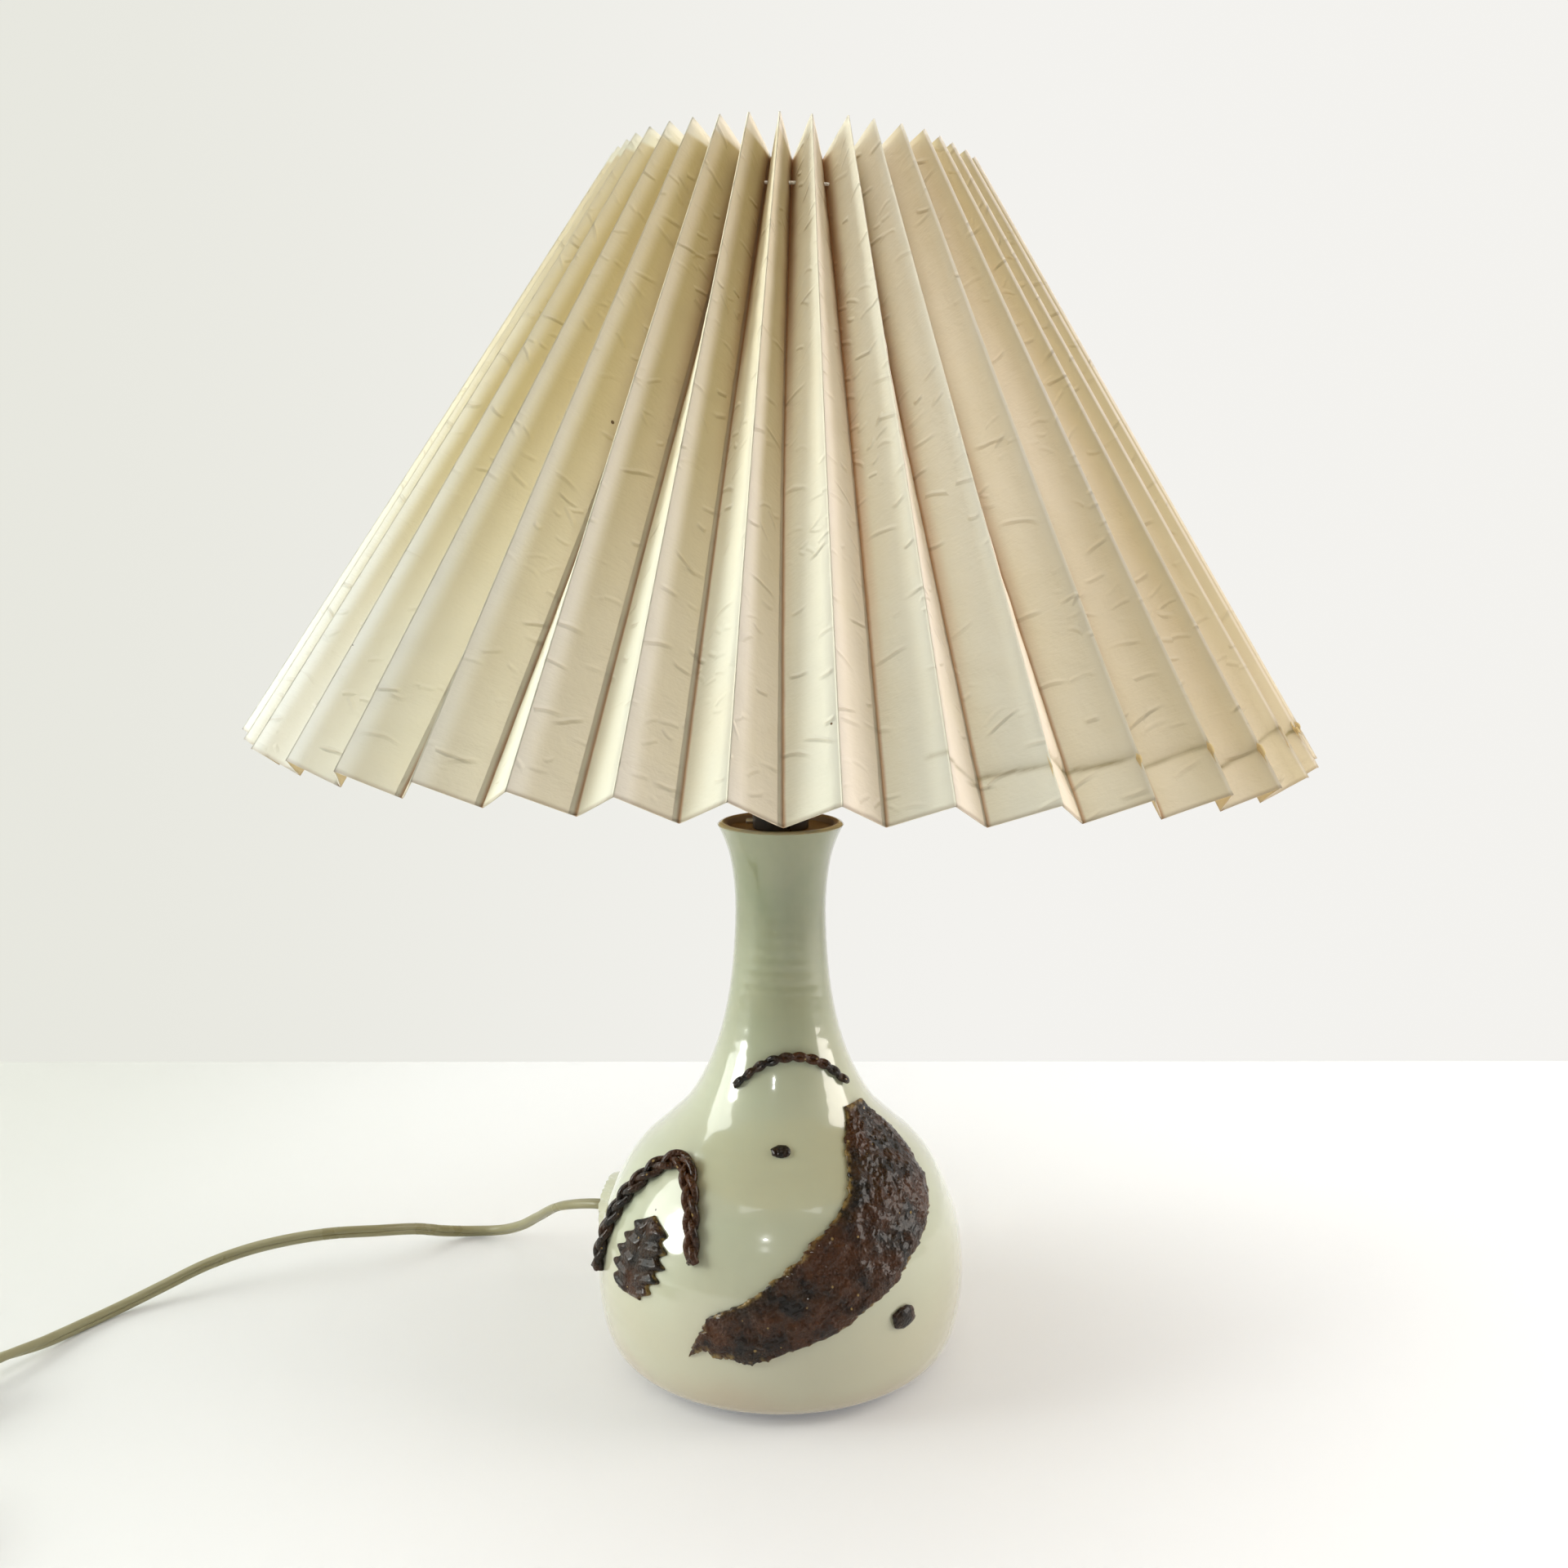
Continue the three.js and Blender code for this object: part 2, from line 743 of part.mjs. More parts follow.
function holderSkirt() {
  const profile = [
    flat(skirtBore, skirtBase),
    flat(holderRadius, skirtBase),
    flat(holderRadius, skirtBase + shoulderHeight),
    flat(shoulderRadius, skirtBase + shoulderHeight),
    flat(shoulderRadius, shoulderTop),
    flat(holderRadius, shoulderTop),
    flat(holderRadius, skirtBase + skirtHeight),
    flat(skirtBore, skirtBase + skirtHeight),
  ];
  return turned(profile, holderSegments);
}

function ringNut() {
  const bore = holderRadius + gap;
  const profile = [
    flat(bore, ringNutBase),
    flat(ringNutRadius, ringNutBase),
    flat(ringNutRadius, ringNutBase + ringNutFlange),
    flat(ringNutHubRadius, ringNutBase + ringNutFlange),
    flat(ringNutHubRadius, ringNutBase + ringNutHeight),
    flat(bore, ringNutBase + ringNutHeight),
  ];
  return turned(profile, holderSegments);
}

const black = 0x17171a;
const brass = 0xc8a455;
add("holder_cap", holderCap(), finish(black, 0.35));
add("holder_grub_screw", grubScrew(), finish(0x8d8f92, 0.4, 0.9));
add("holder_insert", holderInsert(), finish(0xeeebe2, 0.3));
add("holder_screw_shell", screwShell(), finish(brass, 0.35, 0.9));
add("holder_centre_contact", centreContact(), finish(brass, 0.35, 0.9));
add("terminal_screw_live", terminalScrew(1), finish(brass, 0.35, 0.9));
add("terminal_screw_neutral", terminalScrew(-1), finish(brass, 0.35, 0.9));
add("holder_skirt", holderSkirt(), finish(black, 0.35));
add("holder_ring_nut", ringNut(), finish(black, 0.35));

// The envelope: a thin shell, open at its neck
function bulbGlass() {
  const centre = bulbGlassBase + bulbGlassHeight - bulbRadius;
  const wallLine = (inset) => {
    const line = [flat(bulbNeckRadius - inset, bulbGlassBase)];
    for (let i = 0; i < bulbBends; i += 1) {
      const angle = bulbShoulder + ((Math.PI / 2 - bulbShoulder) * i) / bulbBends;
      const radius = bulbRadius - inset;
      line.push(flat(radius * Math.cos(angle), centre + radius * Math.sin(angle)));
    }
    line.push(flat(0, centre + bulbRadius - inset));
    return line;
  };
  return turned([...wallLine(bulbGlassWall).reverse(), ...wallLine(0)], 20);
}

function bulbScrewCap() {
  const [radius, top] = [bulbCapRadius - bulbCapWall, bulbCapBase + bulbCapHeight];
  const profile = [
    flat(0, bulbCapBase),
    flat(bulbCapRadius, bulbCapBase),
    flat(bulbCapRadius, top),
    flat(radius, top),
    flat(radius, bulbCapBase + bulbCapWall),
    flat(0, bulbCapBase + bulbCapWall),
  ];
  return turned(profile, 24);
}

const stemBase = bulbCapBase + bulbCapWall + gap;

// The glass stem that carries the filament's leads
function bulbStem() {
  const profile = [
    flat(0, stemBase),
    flat(stemFlareRadius, stemBase),
    flat(stemRadius, stemBase + stemFlareHeight),
    flat(stemRadius, stemBase + stemHeight),
    flat(0, stemBase + stemHeight),
  ];
  return turned(profile, 12);
}

function bulbFilament() {
  const foot = stemBase + stemHeight + gap;
  const straight = 3 * filamentRadius;
  const shoulder = foot + (3 * filamentRise) / 4;
  const route = [
    point(-stemRadius / 2, 0, foot),
    point(-stemRadius / 2, 0, foot + straight),
    point(-filamentSpread, 0, shoulder),
    point(0, 0, foot + filamentRise),
    point(filamentSpread, 0, shoulder),
    point(stemRadius / 2, 0, foot + straight),
    point(stemRadius / 2, 0, foot),
  ];
  return tube(route, filamentRadius, 6, 18);
}

function bulbInsulator() {
  const profile = [
    flat(0, bulbInsulatorBase),
    flat(bulbTipRadius, bulbInsulatorBase),
    flat(bulbInsulatorRadius, bulbInsulatorBase + bulbInsulatorHeight),
    flat(0, bulbInsulatorBase + bulbInsulatorHeight),
  ];
  return turned(profile, 20);
}

add("bulb_glass", bulbGlass(), finish(0xf4efe2, 0.25));
add("bulb_stem", bulbStem(), finish(0xdfe6e4, 0.1));
add("bulb_filament", bulbFilament(), finish(0x5a5650, 0.4, 0.9));
add("bulb_screw_cap", bulbScrewCap(), finish(0xb8b9bb, 0.35, 0.9));
add("bulb_insulator", bulbInsulator(), finish(0x1c1a20, 0.3));
const bulbTip = turnedDisc(bulbTipRadius, bulbTipBase, bulbTipBase + bulbTipHeight, 16);
add("bulb_tip", bulbTip, finish(0xa7a4a0, 0.4, 0.9));

// The shade and its carrier lean together on the holder, turned about the middle of the collar
lamp.add(topGroup);
topGroup.add(topInner);
topGroup.position.z = collarBase + collarThickness / 2;
const leanAxis = point(-Math.sin(shadeLeanTowards), Math.cos(shadeLeanTowards), 0);
topGroup.quaternion.setFromAxisAngle(leanAxis, shadeLean);
topInner.position.z = -topGroup.position.z;

// Folds and valleys at one end of the shade. It is folded from a straight strip, so each panel is a rectangle and
// its cut edge stands square to its folds. This sets a valley's radius and how far it hangs below its folds.
function pleatEnd(fold, foldHeight) {
  const half = Math.PI / pleatCount;
  const slope = (shadeBottomRadius - shadeTopRadius) / (shadeTopHeight - shadeBottomHeight);
  const stretch = 1 + slope ** 2;
  const a = stretch * Math.cos(half) ** 2 + Math.sin(half) ** 2;
  const b = stretch * fold * Math.cos(half);
  const valley = (b - Math.sqrt(b ** 2 - a * (stretch * fold ** 2 - pleatWidth ** 2))) / a;
  const valleyHeight = foldHeight - slope * (fold - valley * Math.cos(half));
  return { fold, valley, foldHeight, valleyHeight };
}

// One level of the pleats, from the hem (0) to the top edge (1)
function pleatLevel(share) {
  const half = Math.PI / pleatCount;
  const hem = pleatEnd(shadeBottomRadius, shadeBottomHeight);
  const top = pleatEnd(shadeTopRadius, shadeTopHeight);
  const along = (name) => THREE.MathUtils.lerp(hem[name], top[name], share);
  const fold = along("fold");
  const valley = along("valley");
  const foldSlant = Math.atan2(valley * Math.sin(half), fold - valley * Math.cos(half));
  return {
    fold,
    valley,
    innerFold: fold - shadeSheet / Math.sin(foldSlant),
    innerValley: valley - shadeSheet / Math.sin(foldSlant + half),
    foldHeight: along("foldHeight"),
    valleyHeight: along("valleyHeight"),
  };
}

function valleyShareAt(height) {
  return (height - valleyHem.valleyHeight) / (valleyTop.valleyHeight - valleyHem.valleyHeight);
}

const valleyHem = pleatLevel(0);
const valleyTop = pleatLevel(1);

function pleatedShell() {
  const count = pleatCount * 2;
  const points = [];
  for (const layer of ["outer", "inner"]) {
    for (let level = 0; level <= shadeLevels; level += 1) {
      const place = pleatLevel(level / shadeLevels);
      for (let i = 0; i < count; i += 1) {
        const angle = -Math.PI / 2 + (Math.PI * i) / pleatCount;
        const isFold = i % 2 === 1;
        const outer = isFold ? place.fold : place.valley;
        const inner = isFold ? place.innerFold : place.innerValley;
        const radius = layer === "outer" ? outer : inner;
        const height = isFold ? place.foldHeight : place.valleyHeight;
        points.push(point(radius * Math.cos(angle), radius * Math.sin(angle), height));
      }
    }
  }
  const at = (layer, level, i) => (layer * (shadeLevels + 1) + level) * count + (i % count);
  const triangles = [];
  const quad = (a, b, c, d) => triangles.push(a, b, c, a, c, d);
  for (let i = 0; i < count; i += 1) {
    for (let level = 0; level < shadeLevels; level += 1) {
      quad(at(0, level, i), at(0, level, i + 1), at(0, level + 1, i + 1), at(0, level + 1, i));
      quad(at(1, level, i), at(1, level + 1, i), at(1, level + 1, i + 1), at(1, level, i + 1));
    }
    quad(at(0, 0, i), at(1, 0, i), at(1, 0, i + 1), at(0, 0, i + 1));
    quad(at(0, shadeLevels, i), at(0, shadeLevels, i + 1), at(1, shadeLevels, i + 1), at(1, shadeLevels, i));
  }
  const geometry = new THREE.BufferGeometry();
  const places = new Float32Array(points.flatMap((place) => place.toArray()));
  geometry.setAttribute("position", new THREE.BufferAttribute(places, 3));
  geometry.setIndex(triangles);
  return closedSolid(geometry);
}

const stringHeight = shadeTopHeight - stringDrop;
const stringRingRadius = pleatLevel(valleyShareAt(stringHeight)).valley + stringFromValley;

function stringRing(radius) {
  const geometry = wireRing(stringRingRadius, radius, 4, pleatCount);
  geometry.translate(0, 0, stringHeight);
  return geometry;
}

add("shade_pleated", cut(pleatedShell(), stringRing(stringRadius + gap)), finish(0xe8dcc0, 0.8), topInner);
add("shade_drawstring", stringRing(stringRadius), finish(0xe9e2d0, 0.9), topInner);

// The carrier: a collar on the holder, three wire arms and the ring that the shade's valleys sit on
const carrierRingHeight = shadeTopHeight - carrierRingDrop;
const valleySlant = Math.atan2(
  valleyHem.valley - valleyTop.valley,
  valleyTop.valleyHeight - valleyHem.valleyHeight,
);
const carrierRingInset = (wireRadius + gap) / Math.cos(valleySlant);
const carrierRingRadius = pleatLevel(valleyShareAt(carrierRingHeight)).innerValley - carrierRingInset;

function carrierCollar() {
  return turnedRing(holderRadius + collarClearance, collarRadius, collarBase, collarTop, holderSegments);
}

function carrierArm(i) {
  const angle = armTurn + (2 * Math.PI * i) / armCount;
  const at = (radius, height) => point(radius * Math.cos(angle), radius * Math.sin(angle), height);
  const footRadius = collarRadius - wireRadius;
  const foot = collarTop + gap;
  const head = carrierRingHeight - wireRadius - gap;
  const route = [
    at(footRadius, foot),
    at(footRadius, foot + armStraight),
    at(armWaistRadius, foot + armWaistRise),
    at(carrierRingRadius, head - armStraight),
    at(carrierRingRadius, head),
  ];
  return tube(route, wireRadius, 6, 14);
}

function carrierRing() {
  const geometry = wireRing(carrierRingRadius, wireRadius, 6, 30);
  geometry.translate(0, 0, carrierRingHeight);
  return geometry;
}

const wire = 0x2b2b2d;
add("carrier_collar", carrierCollar(), finish(wire, 0.4, 0.7), topInner);
for (let i = 0; i < armCount; i += 1) {
  add(`carrier_arm_${i + 1}`, carrierArm(i), finish(wire, 0.4, 0.7), topInner);
}
add("carrier_top_ring", carrierRing(), finish(wire, 0.4, 0.7), topInner);

// The bush in the pad, and the cord inside the lamp from the bush up to the insert
function cordBush() {
  const back = padFace - bushLength;
  const profile = [
    flat(cordBore, back),
    flat(cordBore + bushWall, back),
    flat(cordBore + bushWall, padFace + gap),
    flat(cordBore + bushWall + bushFlange, padFace + gap),
    flat(cordBore + bushWall + bushFlange, cordExitRadius),
    flat(cordBore, cordExitRadius),
  ];
  return alongPad(turned(profile, 16));
}

function insideCord() {
  const out = (radius, height) => padOut.clone().multiplyScalar(radius).setZ(height);
  const nippleFoot = webUnderside - nippleBelowWeb;
  const route = [
    out(cordExitRadius, padHeight),
    out(cordExitRadius - bushLength, padHeight),
    out(cordExitRadius - bushLength * 2, padHeight),
    out(bellyRadius / 2, padHeight + bodyWall * 2),
    out(bellyRadius / 5, padHeight + bellyRadius / 2),
    out(0, nippleFoot - nippleBelowWeb * 4),
    out(0, nippleFoot),
    out(0, holderBase),
    out(0, insertBase - gap),
  ];
  return tube(route, cordRadius, cordSides, 24);
}

const cordColor = 0x7d7752;
add("cord_bush", cordBush(), finish(0x2a2723, 0.7));
add("cord_inside", insideCord(), finish(cordColor, 0.45));

// The free cord's route on and over the table, from the bush to the switch
const exitPoint = padOut.clone().multiplyScalar(cordExitRadius + gap).setZ(padHeight);
const exitStraight = padOut.clone().multiplyScalar(cordExitRadius + gap + 2 * cordRadius).setZ(padHeight);
const switchDirection = THREE.MathUtils.degToRad(-118);
const switchJoinHeight = switchHalfHeight + gap / 2;
const lampRoute = [
  exitPoint,
  exitStraight,
  point(-97, 42, 41),
  point(-111, 64, 26),
  point(-122.5, 83, 13),
  point(-134.5, 95.5, 5),
  point(-148, 98, 3.3),
  point(-160.5, 93.5, 5.5),
  point(-172, 86, 10),
  point(-188, 72, 15.5),
  point(-205.5, 64, 18),
  point(-223.5, 58.5, 17.5),
  point(-240.5, 52.5, 15.5),
  point(-257.5, 45.5, 11.5),
  point(-272, 35.5, 7),
  point(-285.5, 24, 3.4),
  point(-296.5, 8.5, 2.7),
  point(-305, -9.5, 4.4),
  point(-313.5, -26.5, 7.4),
  point(-320, -38.7, 8.15),
  point(-322.8, -44, 8.15),
];
add("cord_from_lamp", tube(lampRoute, cordRadius, cordSides, 46), finish(cordColor, 0.45));

// The switch, made flat on the table along +X and then turned into the cord's line
lamp.add(switchGroup);
const lampRouteEnd = lampRoute[lampRoute.length - 1];
const switchReach = switchLength / 2 + gap;
switchGroup.position.set(
  lampRouteEnd.x + switchReach * Math.cos(switchDirection),
  lampRouteEnd.y + switchReach * Math.sin(switchDirection),
  0,
);
switchGroup.rotation.z = switchDirection;

const switchCavityWidth = switchWidth - 5 * switchWall;
const coverTop = 2 * switchHalfHeight + gap;

function switchShell(bottom, cavityBottom, cavityTop) {
  const shell = plate(roundedRectangle(switchLength, switchWidth, switchCornerRadius), switchHalfHeight);
  shell.translate(0, 0, bottom);
  const cavity = block(switchCavityLength, switchCavityWidth, cavityTop - cavityBottom);
  cavity.translate(0, 0, cavityBottom);
  return cut(shell, cavity);
}

function switchScrewPlace(geometry, side) {
  geometry.translate(side * switchScrewSpread, 0, 0);
  return geometry;
}

function switchBase() {
  const shell = switchShell(0, switchWall, switchHalfHeight + overrun);
  const recessTop = switchScrewHead + gap;
  const recess = (side) => switchScrewPlace(turnedDisc(switchScrewRadius + gap, -overrun, recessTop, 12), side);
  return cut(shell, recess(-1), recess(1));
}

function switchCover() {
  const bottom = switchHalfHeight + gap;
  const shell = switchShell(bottom, bottom - overrun, coverTop - switchWall);
  const window = block(rockerLength + 2 * windowClearance, rockerWidth + windowClearance, overrun * 4);
  window.translate(0, 0, coverTop - switchWall - overrun);
  return cut(shell, window);
}

// The rocker: a shallow V on top, a bore for its pin, tilted to its off position
function switchRocker() {
  const half = rockerLength / 2;
  const outline = new THREE.Shape([
    flat(-half, -rockerFoot),
    flat(half, -rockerFoot),
    flat(half, rockerRise),
    flat(0, rockerRise - rockerDip),
    flat(-half, rockerRise),
  ]);
  const bore = new THREE.Path(roundSection(rockerPinRadius + gap, 10).getPoints().reverse());
  outline.holes.push(bore);
  const geometry = plate(outline, rockerWidth);
  geometry.translate(0, 0, -rockerWidth / 2);
  geometry.rotateX(Math.PI / 2);
  geometry.rotateY(rockerTilt);
  geometry.translate(0, 0, rockerPinHeight);
  return geometry;
}

function rockerPin() {
  const reach = switchCavityWidth / 2 - gap;
  const geometry = turnedDisc(rockerPinRadius, -reach, reach, 10);
  geometry.rotateX(Math.PI / 2);
  geometry.translate(0, 0, rockerPinHeight);
  return geometry;
}

function switchContact() {
  const geometry = block(switchContactLength, switchContactWidth, switchContactThickness);
  geometry.translate(0, 0, switchWall + gap);
  return geometry;
}

const brownPlastic = 0x3b2a20;
add("switch_base", switchBase(), finish(brownPlastic, 0.4), switchGroup);
add("switch_cover", switchCover(), finish(brownPlastic, 0.4), switchGroup);
add("switch_rocker", switchRocker(), finish(0x2a1d16, 0.4), switchGroup);
add("switch_rocker_pin", rockerPin(), finish(0x9a9da0, 0.4, 0.9), switchGroup);
add("switch_contact", switchContact(), finish(brass, 0.4, 0.9), switchGroup);
for (const [index, side] of [-1, 1].entries()) {
  const screw = switchScrewPlace(turnedDisc(switchScrewRadius, 0, switchScrewHead, 12), side);
  add(`switch_screw_${index + 1}`, screw, finish(0x9a9da0, 0.4, 0.9), switchGroup);
}

// The coil: it spirals in on the lower layer, climbs in half a turn, and spirals out on the upper one
const coilCentre = point(-322, -152, 0);
const coilLowHeight = tieThickness + gap + cordRadius;
const climbTurns = 1 / 2;
const layerTurns = (coilTurns - climbTurns) / 2;
const coilOuterRadius = coilInnerRadius + coilPitch * (layerTurns + climbTurns / 2);
const coilEntry = point(coilCentre.x - coilOuterRadius, coilCentre.y, coilLowHeight);
const coilTail = 2 * cordRadius;

function coilPoint(turn) {
  const middle = coilTurns / 2;
  const radius = coilInnerRadius + coilPitch * Math.abs(turn - middle);
  const climb = THREE.MathUtils.clamp((turn - layerTurns) / climbTurns, 0, 1);
  const angle = Math.PI + 2 * Math.PI * turn;
  return point(
    coilCentre.x + radius * Math.cos(angle),
    coilCentre.y + radius * Math.sin(angle),
    coilLowHeight + climb * coilLayerPitch,
  );
}

const coilRoute = [];
coilRoute.push(coilEntry.clone().add(point(0, 2 * coilTail, 0)));
coilRoute.push(coilEntry.clone().add(point(0, coilTail, 0)));
const coilSteps = coilTurns * coilStepsPerTurn;
for (let i = 0; i <= coilSteps; i += 1) coilRoute.push(coilPoint(i / coilStepsPerTurn));
const coilLeave = coilPoint(coilTurns);
coilRoute.push(coilLeave.clone().add(point(0, -coilTail, 0)));
coilRoute.push(coilLeave.clone().add(point(0, -2 * coilTail, 0)));
const coilTubeSteps = coilSteps + 4;

// The least clear space between two turns of the coil, measured on the points of its tube
function coilSelfGap() {
  const path = new THREE.CatmullRomCurve3(coilRoute, false, "centripetal");
  const places = path.getSpacedPoints(coilTubeSteps);
  const apart = Math.round(coilStepsPerTurn / 3);
  let least = Infinity;
  for (let i = 0; i < places.length; i += 1) {
    for (let j = i + apart; j < places.length - 1; j += 1) {
      const part = new THREE.Line3(places[j], places[j + 1]);
      const near = part.closestPointToPoint(places[i], true, point(0, 0, 0));
      least = Math.min(least, near.distanceTo(places[i]));
    }
  }
  return least - 2 * cordRadius;
}

console.log(`Least gap between the coil's turns: ${coilSelfGap().toFixed(2)} mm`);
add("cord_coil", tube(coilRoute, cordRadius, coilSides, coilTubeSteps), finish(cordColor, 0.45));

// The stretch between the switch and the coil
const switchEnd = switchReach + switchLength / 2;
const joinStart = point(
  lampRouteEnd.x + switchEnd * Math.cos(switchDirection) + gap * Math.cos(switchDirection),
  lampRouteEnd.y + switchEnd * Math.sin(switchDirection) + gap * Math.sin(switchDirection),
  switchJoinHeight,
);
const joinStraight = joinStart.clone();
joinStraight.x += coilTail * Math.cos(switchDirection);
joinStraight.y += coilTail * Math.sin(switchDirection);
const coilMouth = coilRoute[0];
const joinRoute = [
  joinStart,
  joinStraight,
  point(-361.5, -121, 5.6),
  coilMouth.clone().add(point(0, coilTail + gap, 0)),
  coilMouth.clone().add(point(0, gap, 0)),
];
add("cord_to_coil", tube(joinRoute, cordRadius, cordSides, 6), finish(cordColor, 0.45));

// The tie: a flat strap round all the strands on one side of the coil
function coilTie() {
  const inner = coilInnerRadius - cordRadius - gap;
  const outer = coilOuterRadius + cordRadius + gap;
  const bottom = tieThickness;
  const top = coilLowHeight + coilLayerPitch + cordRadius + gap;
  const outside = new THREE.Shape([
    flat(inner - tieThickness, bottom - tieThickness),
    flat(outer + tieThickness, bottom - tieThickness),
    flat(outer + tieThickness, top + tieThickness),
    flat(inner - tieThickness, top + tieThickness),
  ]);
  const opening = new THREE.Path([flat(inner, bottom), flat(inner, top), flat(outer, top), flat(outer, bottom)]);
  outside.holes.push(opening);
  const geometry = plate(outside, tieWidth);
  geometry.translate(0, 0, -tieWidth / 2);
  geometry.rotateX(Math.PI / 2);
  geometry.rotateZ(tieAngle);
  geometry.translate(coilCentre.x, coilCentre.y, 0);
  return geometry;
}

add("cord_coil_tie", coilTie(), finish(0x1d1d1f, 0.8));

// The plug lies on the table in front of the coil, its pins towards -Y
const plugAxisHeight = plugThickness / 2;
const coilEnd = coilRoute[coilRoute.length - 1];
const bootStart = coilEnd.clone().add(point(plugAside, -plugAhead, 0)).setZ(plugAxisHeight);
const plugRoute = [
  coilEnd.clone().add(point(0, -gap, 0)),
  coilEnd.clone().add(point(0, -gap - coilTail, 0)),
  coilEnd.clone().lerp(bootStart, 1 / 2),
  bootStart.clone().add(point(0, coilTail, 0)),
  bootStart,
];
add("cord_to_plug", tube(plugRoute, cordRadius, cordSides, 6), finish(cordColor, 0.45));

function alongPlug(geometry, start) {
  geometry.rotateX(Math.PI / 2);
  geometry.translate(bootStart.x, bootStart.y - start, plugAxisHeight);
  return geometry;
}

function plugBoot() {
  const profile = [flat(0, 0), flat(bootTipRadius, 0), flat(bootRadius, bootLength), flat(0, bootLength)];
  return alongPlug(turned(profile, 14), gap);
}

// The plug's body: slim where the cord comes in, full width at the pins
function plugBody() {
  const [half, nose] = [plugWidth / 2, (plugWidth * plugNoseShare) / 2];
  const shape = new THREE.Shape();
  shape.moveTo(-nose, 0);
  shape.lineTo(nose, 0);
  shape.quadraticCurveTo(half, plugLength / 4, half, plugLength / 2);
  shape.lineTo(half, plugLength);
  shape.lineTo(-half, plugLength);
  shape.lineTo(-half, plugLength / 2);
  shape.quadraticCurveTo(-half, plugLength / 4, -nose, 0);
  const geometry = plate(shape, plugThickness);
  geometry.rotateX(Math.PI);
  geometry.translate(bootStart.x, bootStart.y - 2 * gap - bootLength, plugThickness);
  return geometry;
}

function plugPin(side) {
  const geometry = turnedDisc(pinRadius, 0, pinLength, 12);
  geometry.translate(side * pinSpread, 0, 0);
  return alongPlug(geometry, 3 * gap + bootLength + plugLength);
}

add("plug_boot", plugBoot(), finish(black, 0.5));
add("plug_body", plugBody(), finish(black, 0.5));
add("plug_pin_1", plugPin(-1), finish(0xc9c9c4, 0.3, 0.9));
add("plug_pin_2", plugPin(1), finish(0xc9c9c4, 0.3, 0.9));

export default lamp;
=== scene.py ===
# A ceramic table lamp with a pleated shade, dressed over its CAD frame. Metres, +Z up, the front towards -Y.
import math
import random

import bmesh
import bpy
from mathutils import Matrix, Quaternion, Vector, noise


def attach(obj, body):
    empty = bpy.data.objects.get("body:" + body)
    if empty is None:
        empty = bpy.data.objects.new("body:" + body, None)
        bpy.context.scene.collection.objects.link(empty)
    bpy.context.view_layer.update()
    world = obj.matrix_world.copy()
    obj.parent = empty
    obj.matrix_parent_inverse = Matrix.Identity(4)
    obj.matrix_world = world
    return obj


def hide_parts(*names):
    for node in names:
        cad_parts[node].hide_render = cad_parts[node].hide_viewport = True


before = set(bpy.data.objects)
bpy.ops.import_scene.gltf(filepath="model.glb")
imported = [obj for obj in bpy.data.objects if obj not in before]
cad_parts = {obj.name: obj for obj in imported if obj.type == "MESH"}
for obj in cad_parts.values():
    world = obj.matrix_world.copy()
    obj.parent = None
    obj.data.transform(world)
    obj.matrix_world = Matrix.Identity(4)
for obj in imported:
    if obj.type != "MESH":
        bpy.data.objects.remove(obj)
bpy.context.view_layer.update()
scene = bpy.context.scene

# The camera
# A phone stood about 62 cm in front of the lamp, a little above the shade's hem, and looked 9 degrees down.
# The lamp's axis falls a few pixels left of the middle, so the camera is turned a little to the right.
CAMERA_PLACE = (0, -0.618, 0.3345)
LOOKS_DOWN = math.radians(9)
TURNED_RIGHT = 0.0022
PHOTO_PIXELS = 1920
FOCAL_PIXELS = 1930

camera = bpy.data.objects.new("camera", bpy.data.cameras.new("camera"))
camera.location = CAMERA_PLACE
camera.rotation_euler = (math.pi / 2 - LOOKS_DOWN, 0, -TURNED_RIGHT)
camera.data.lens = camera.data.sensor_width * FOCAL_PIXELS / PHOTO_PIXELS
scene.collection.objects.link(camera)
scene.camera = camera
scene.view_settings.view_transform = "Standard"


# The table, the wall and the light
# A white table stands against a white wall. Daylight comes softly from above and from windows at both sides,
# the room behind the camera is dark but for a small lamp. The wall can be seen from its front only.
TABLE_COLOUR = (0.85, 0.855, 0.85, 1)
TABLE_LEFT_SHADED = (0.49, 0.495, 0.46, 1)
TABLE_RIGHT = (0.71, 0.715, 0.72, 1)
WALL_COLOUR = (0.85, 0.85, 0.83, 1)
WALL_LEFT_SHADED = (0.80, 0.80, 0.735, 1)
WALL_RIGHT = (0.90, 0.89, 0.86, 1)
BLACK = (0, 0, 0, 1)
WALL_DISTANCE = 0.354


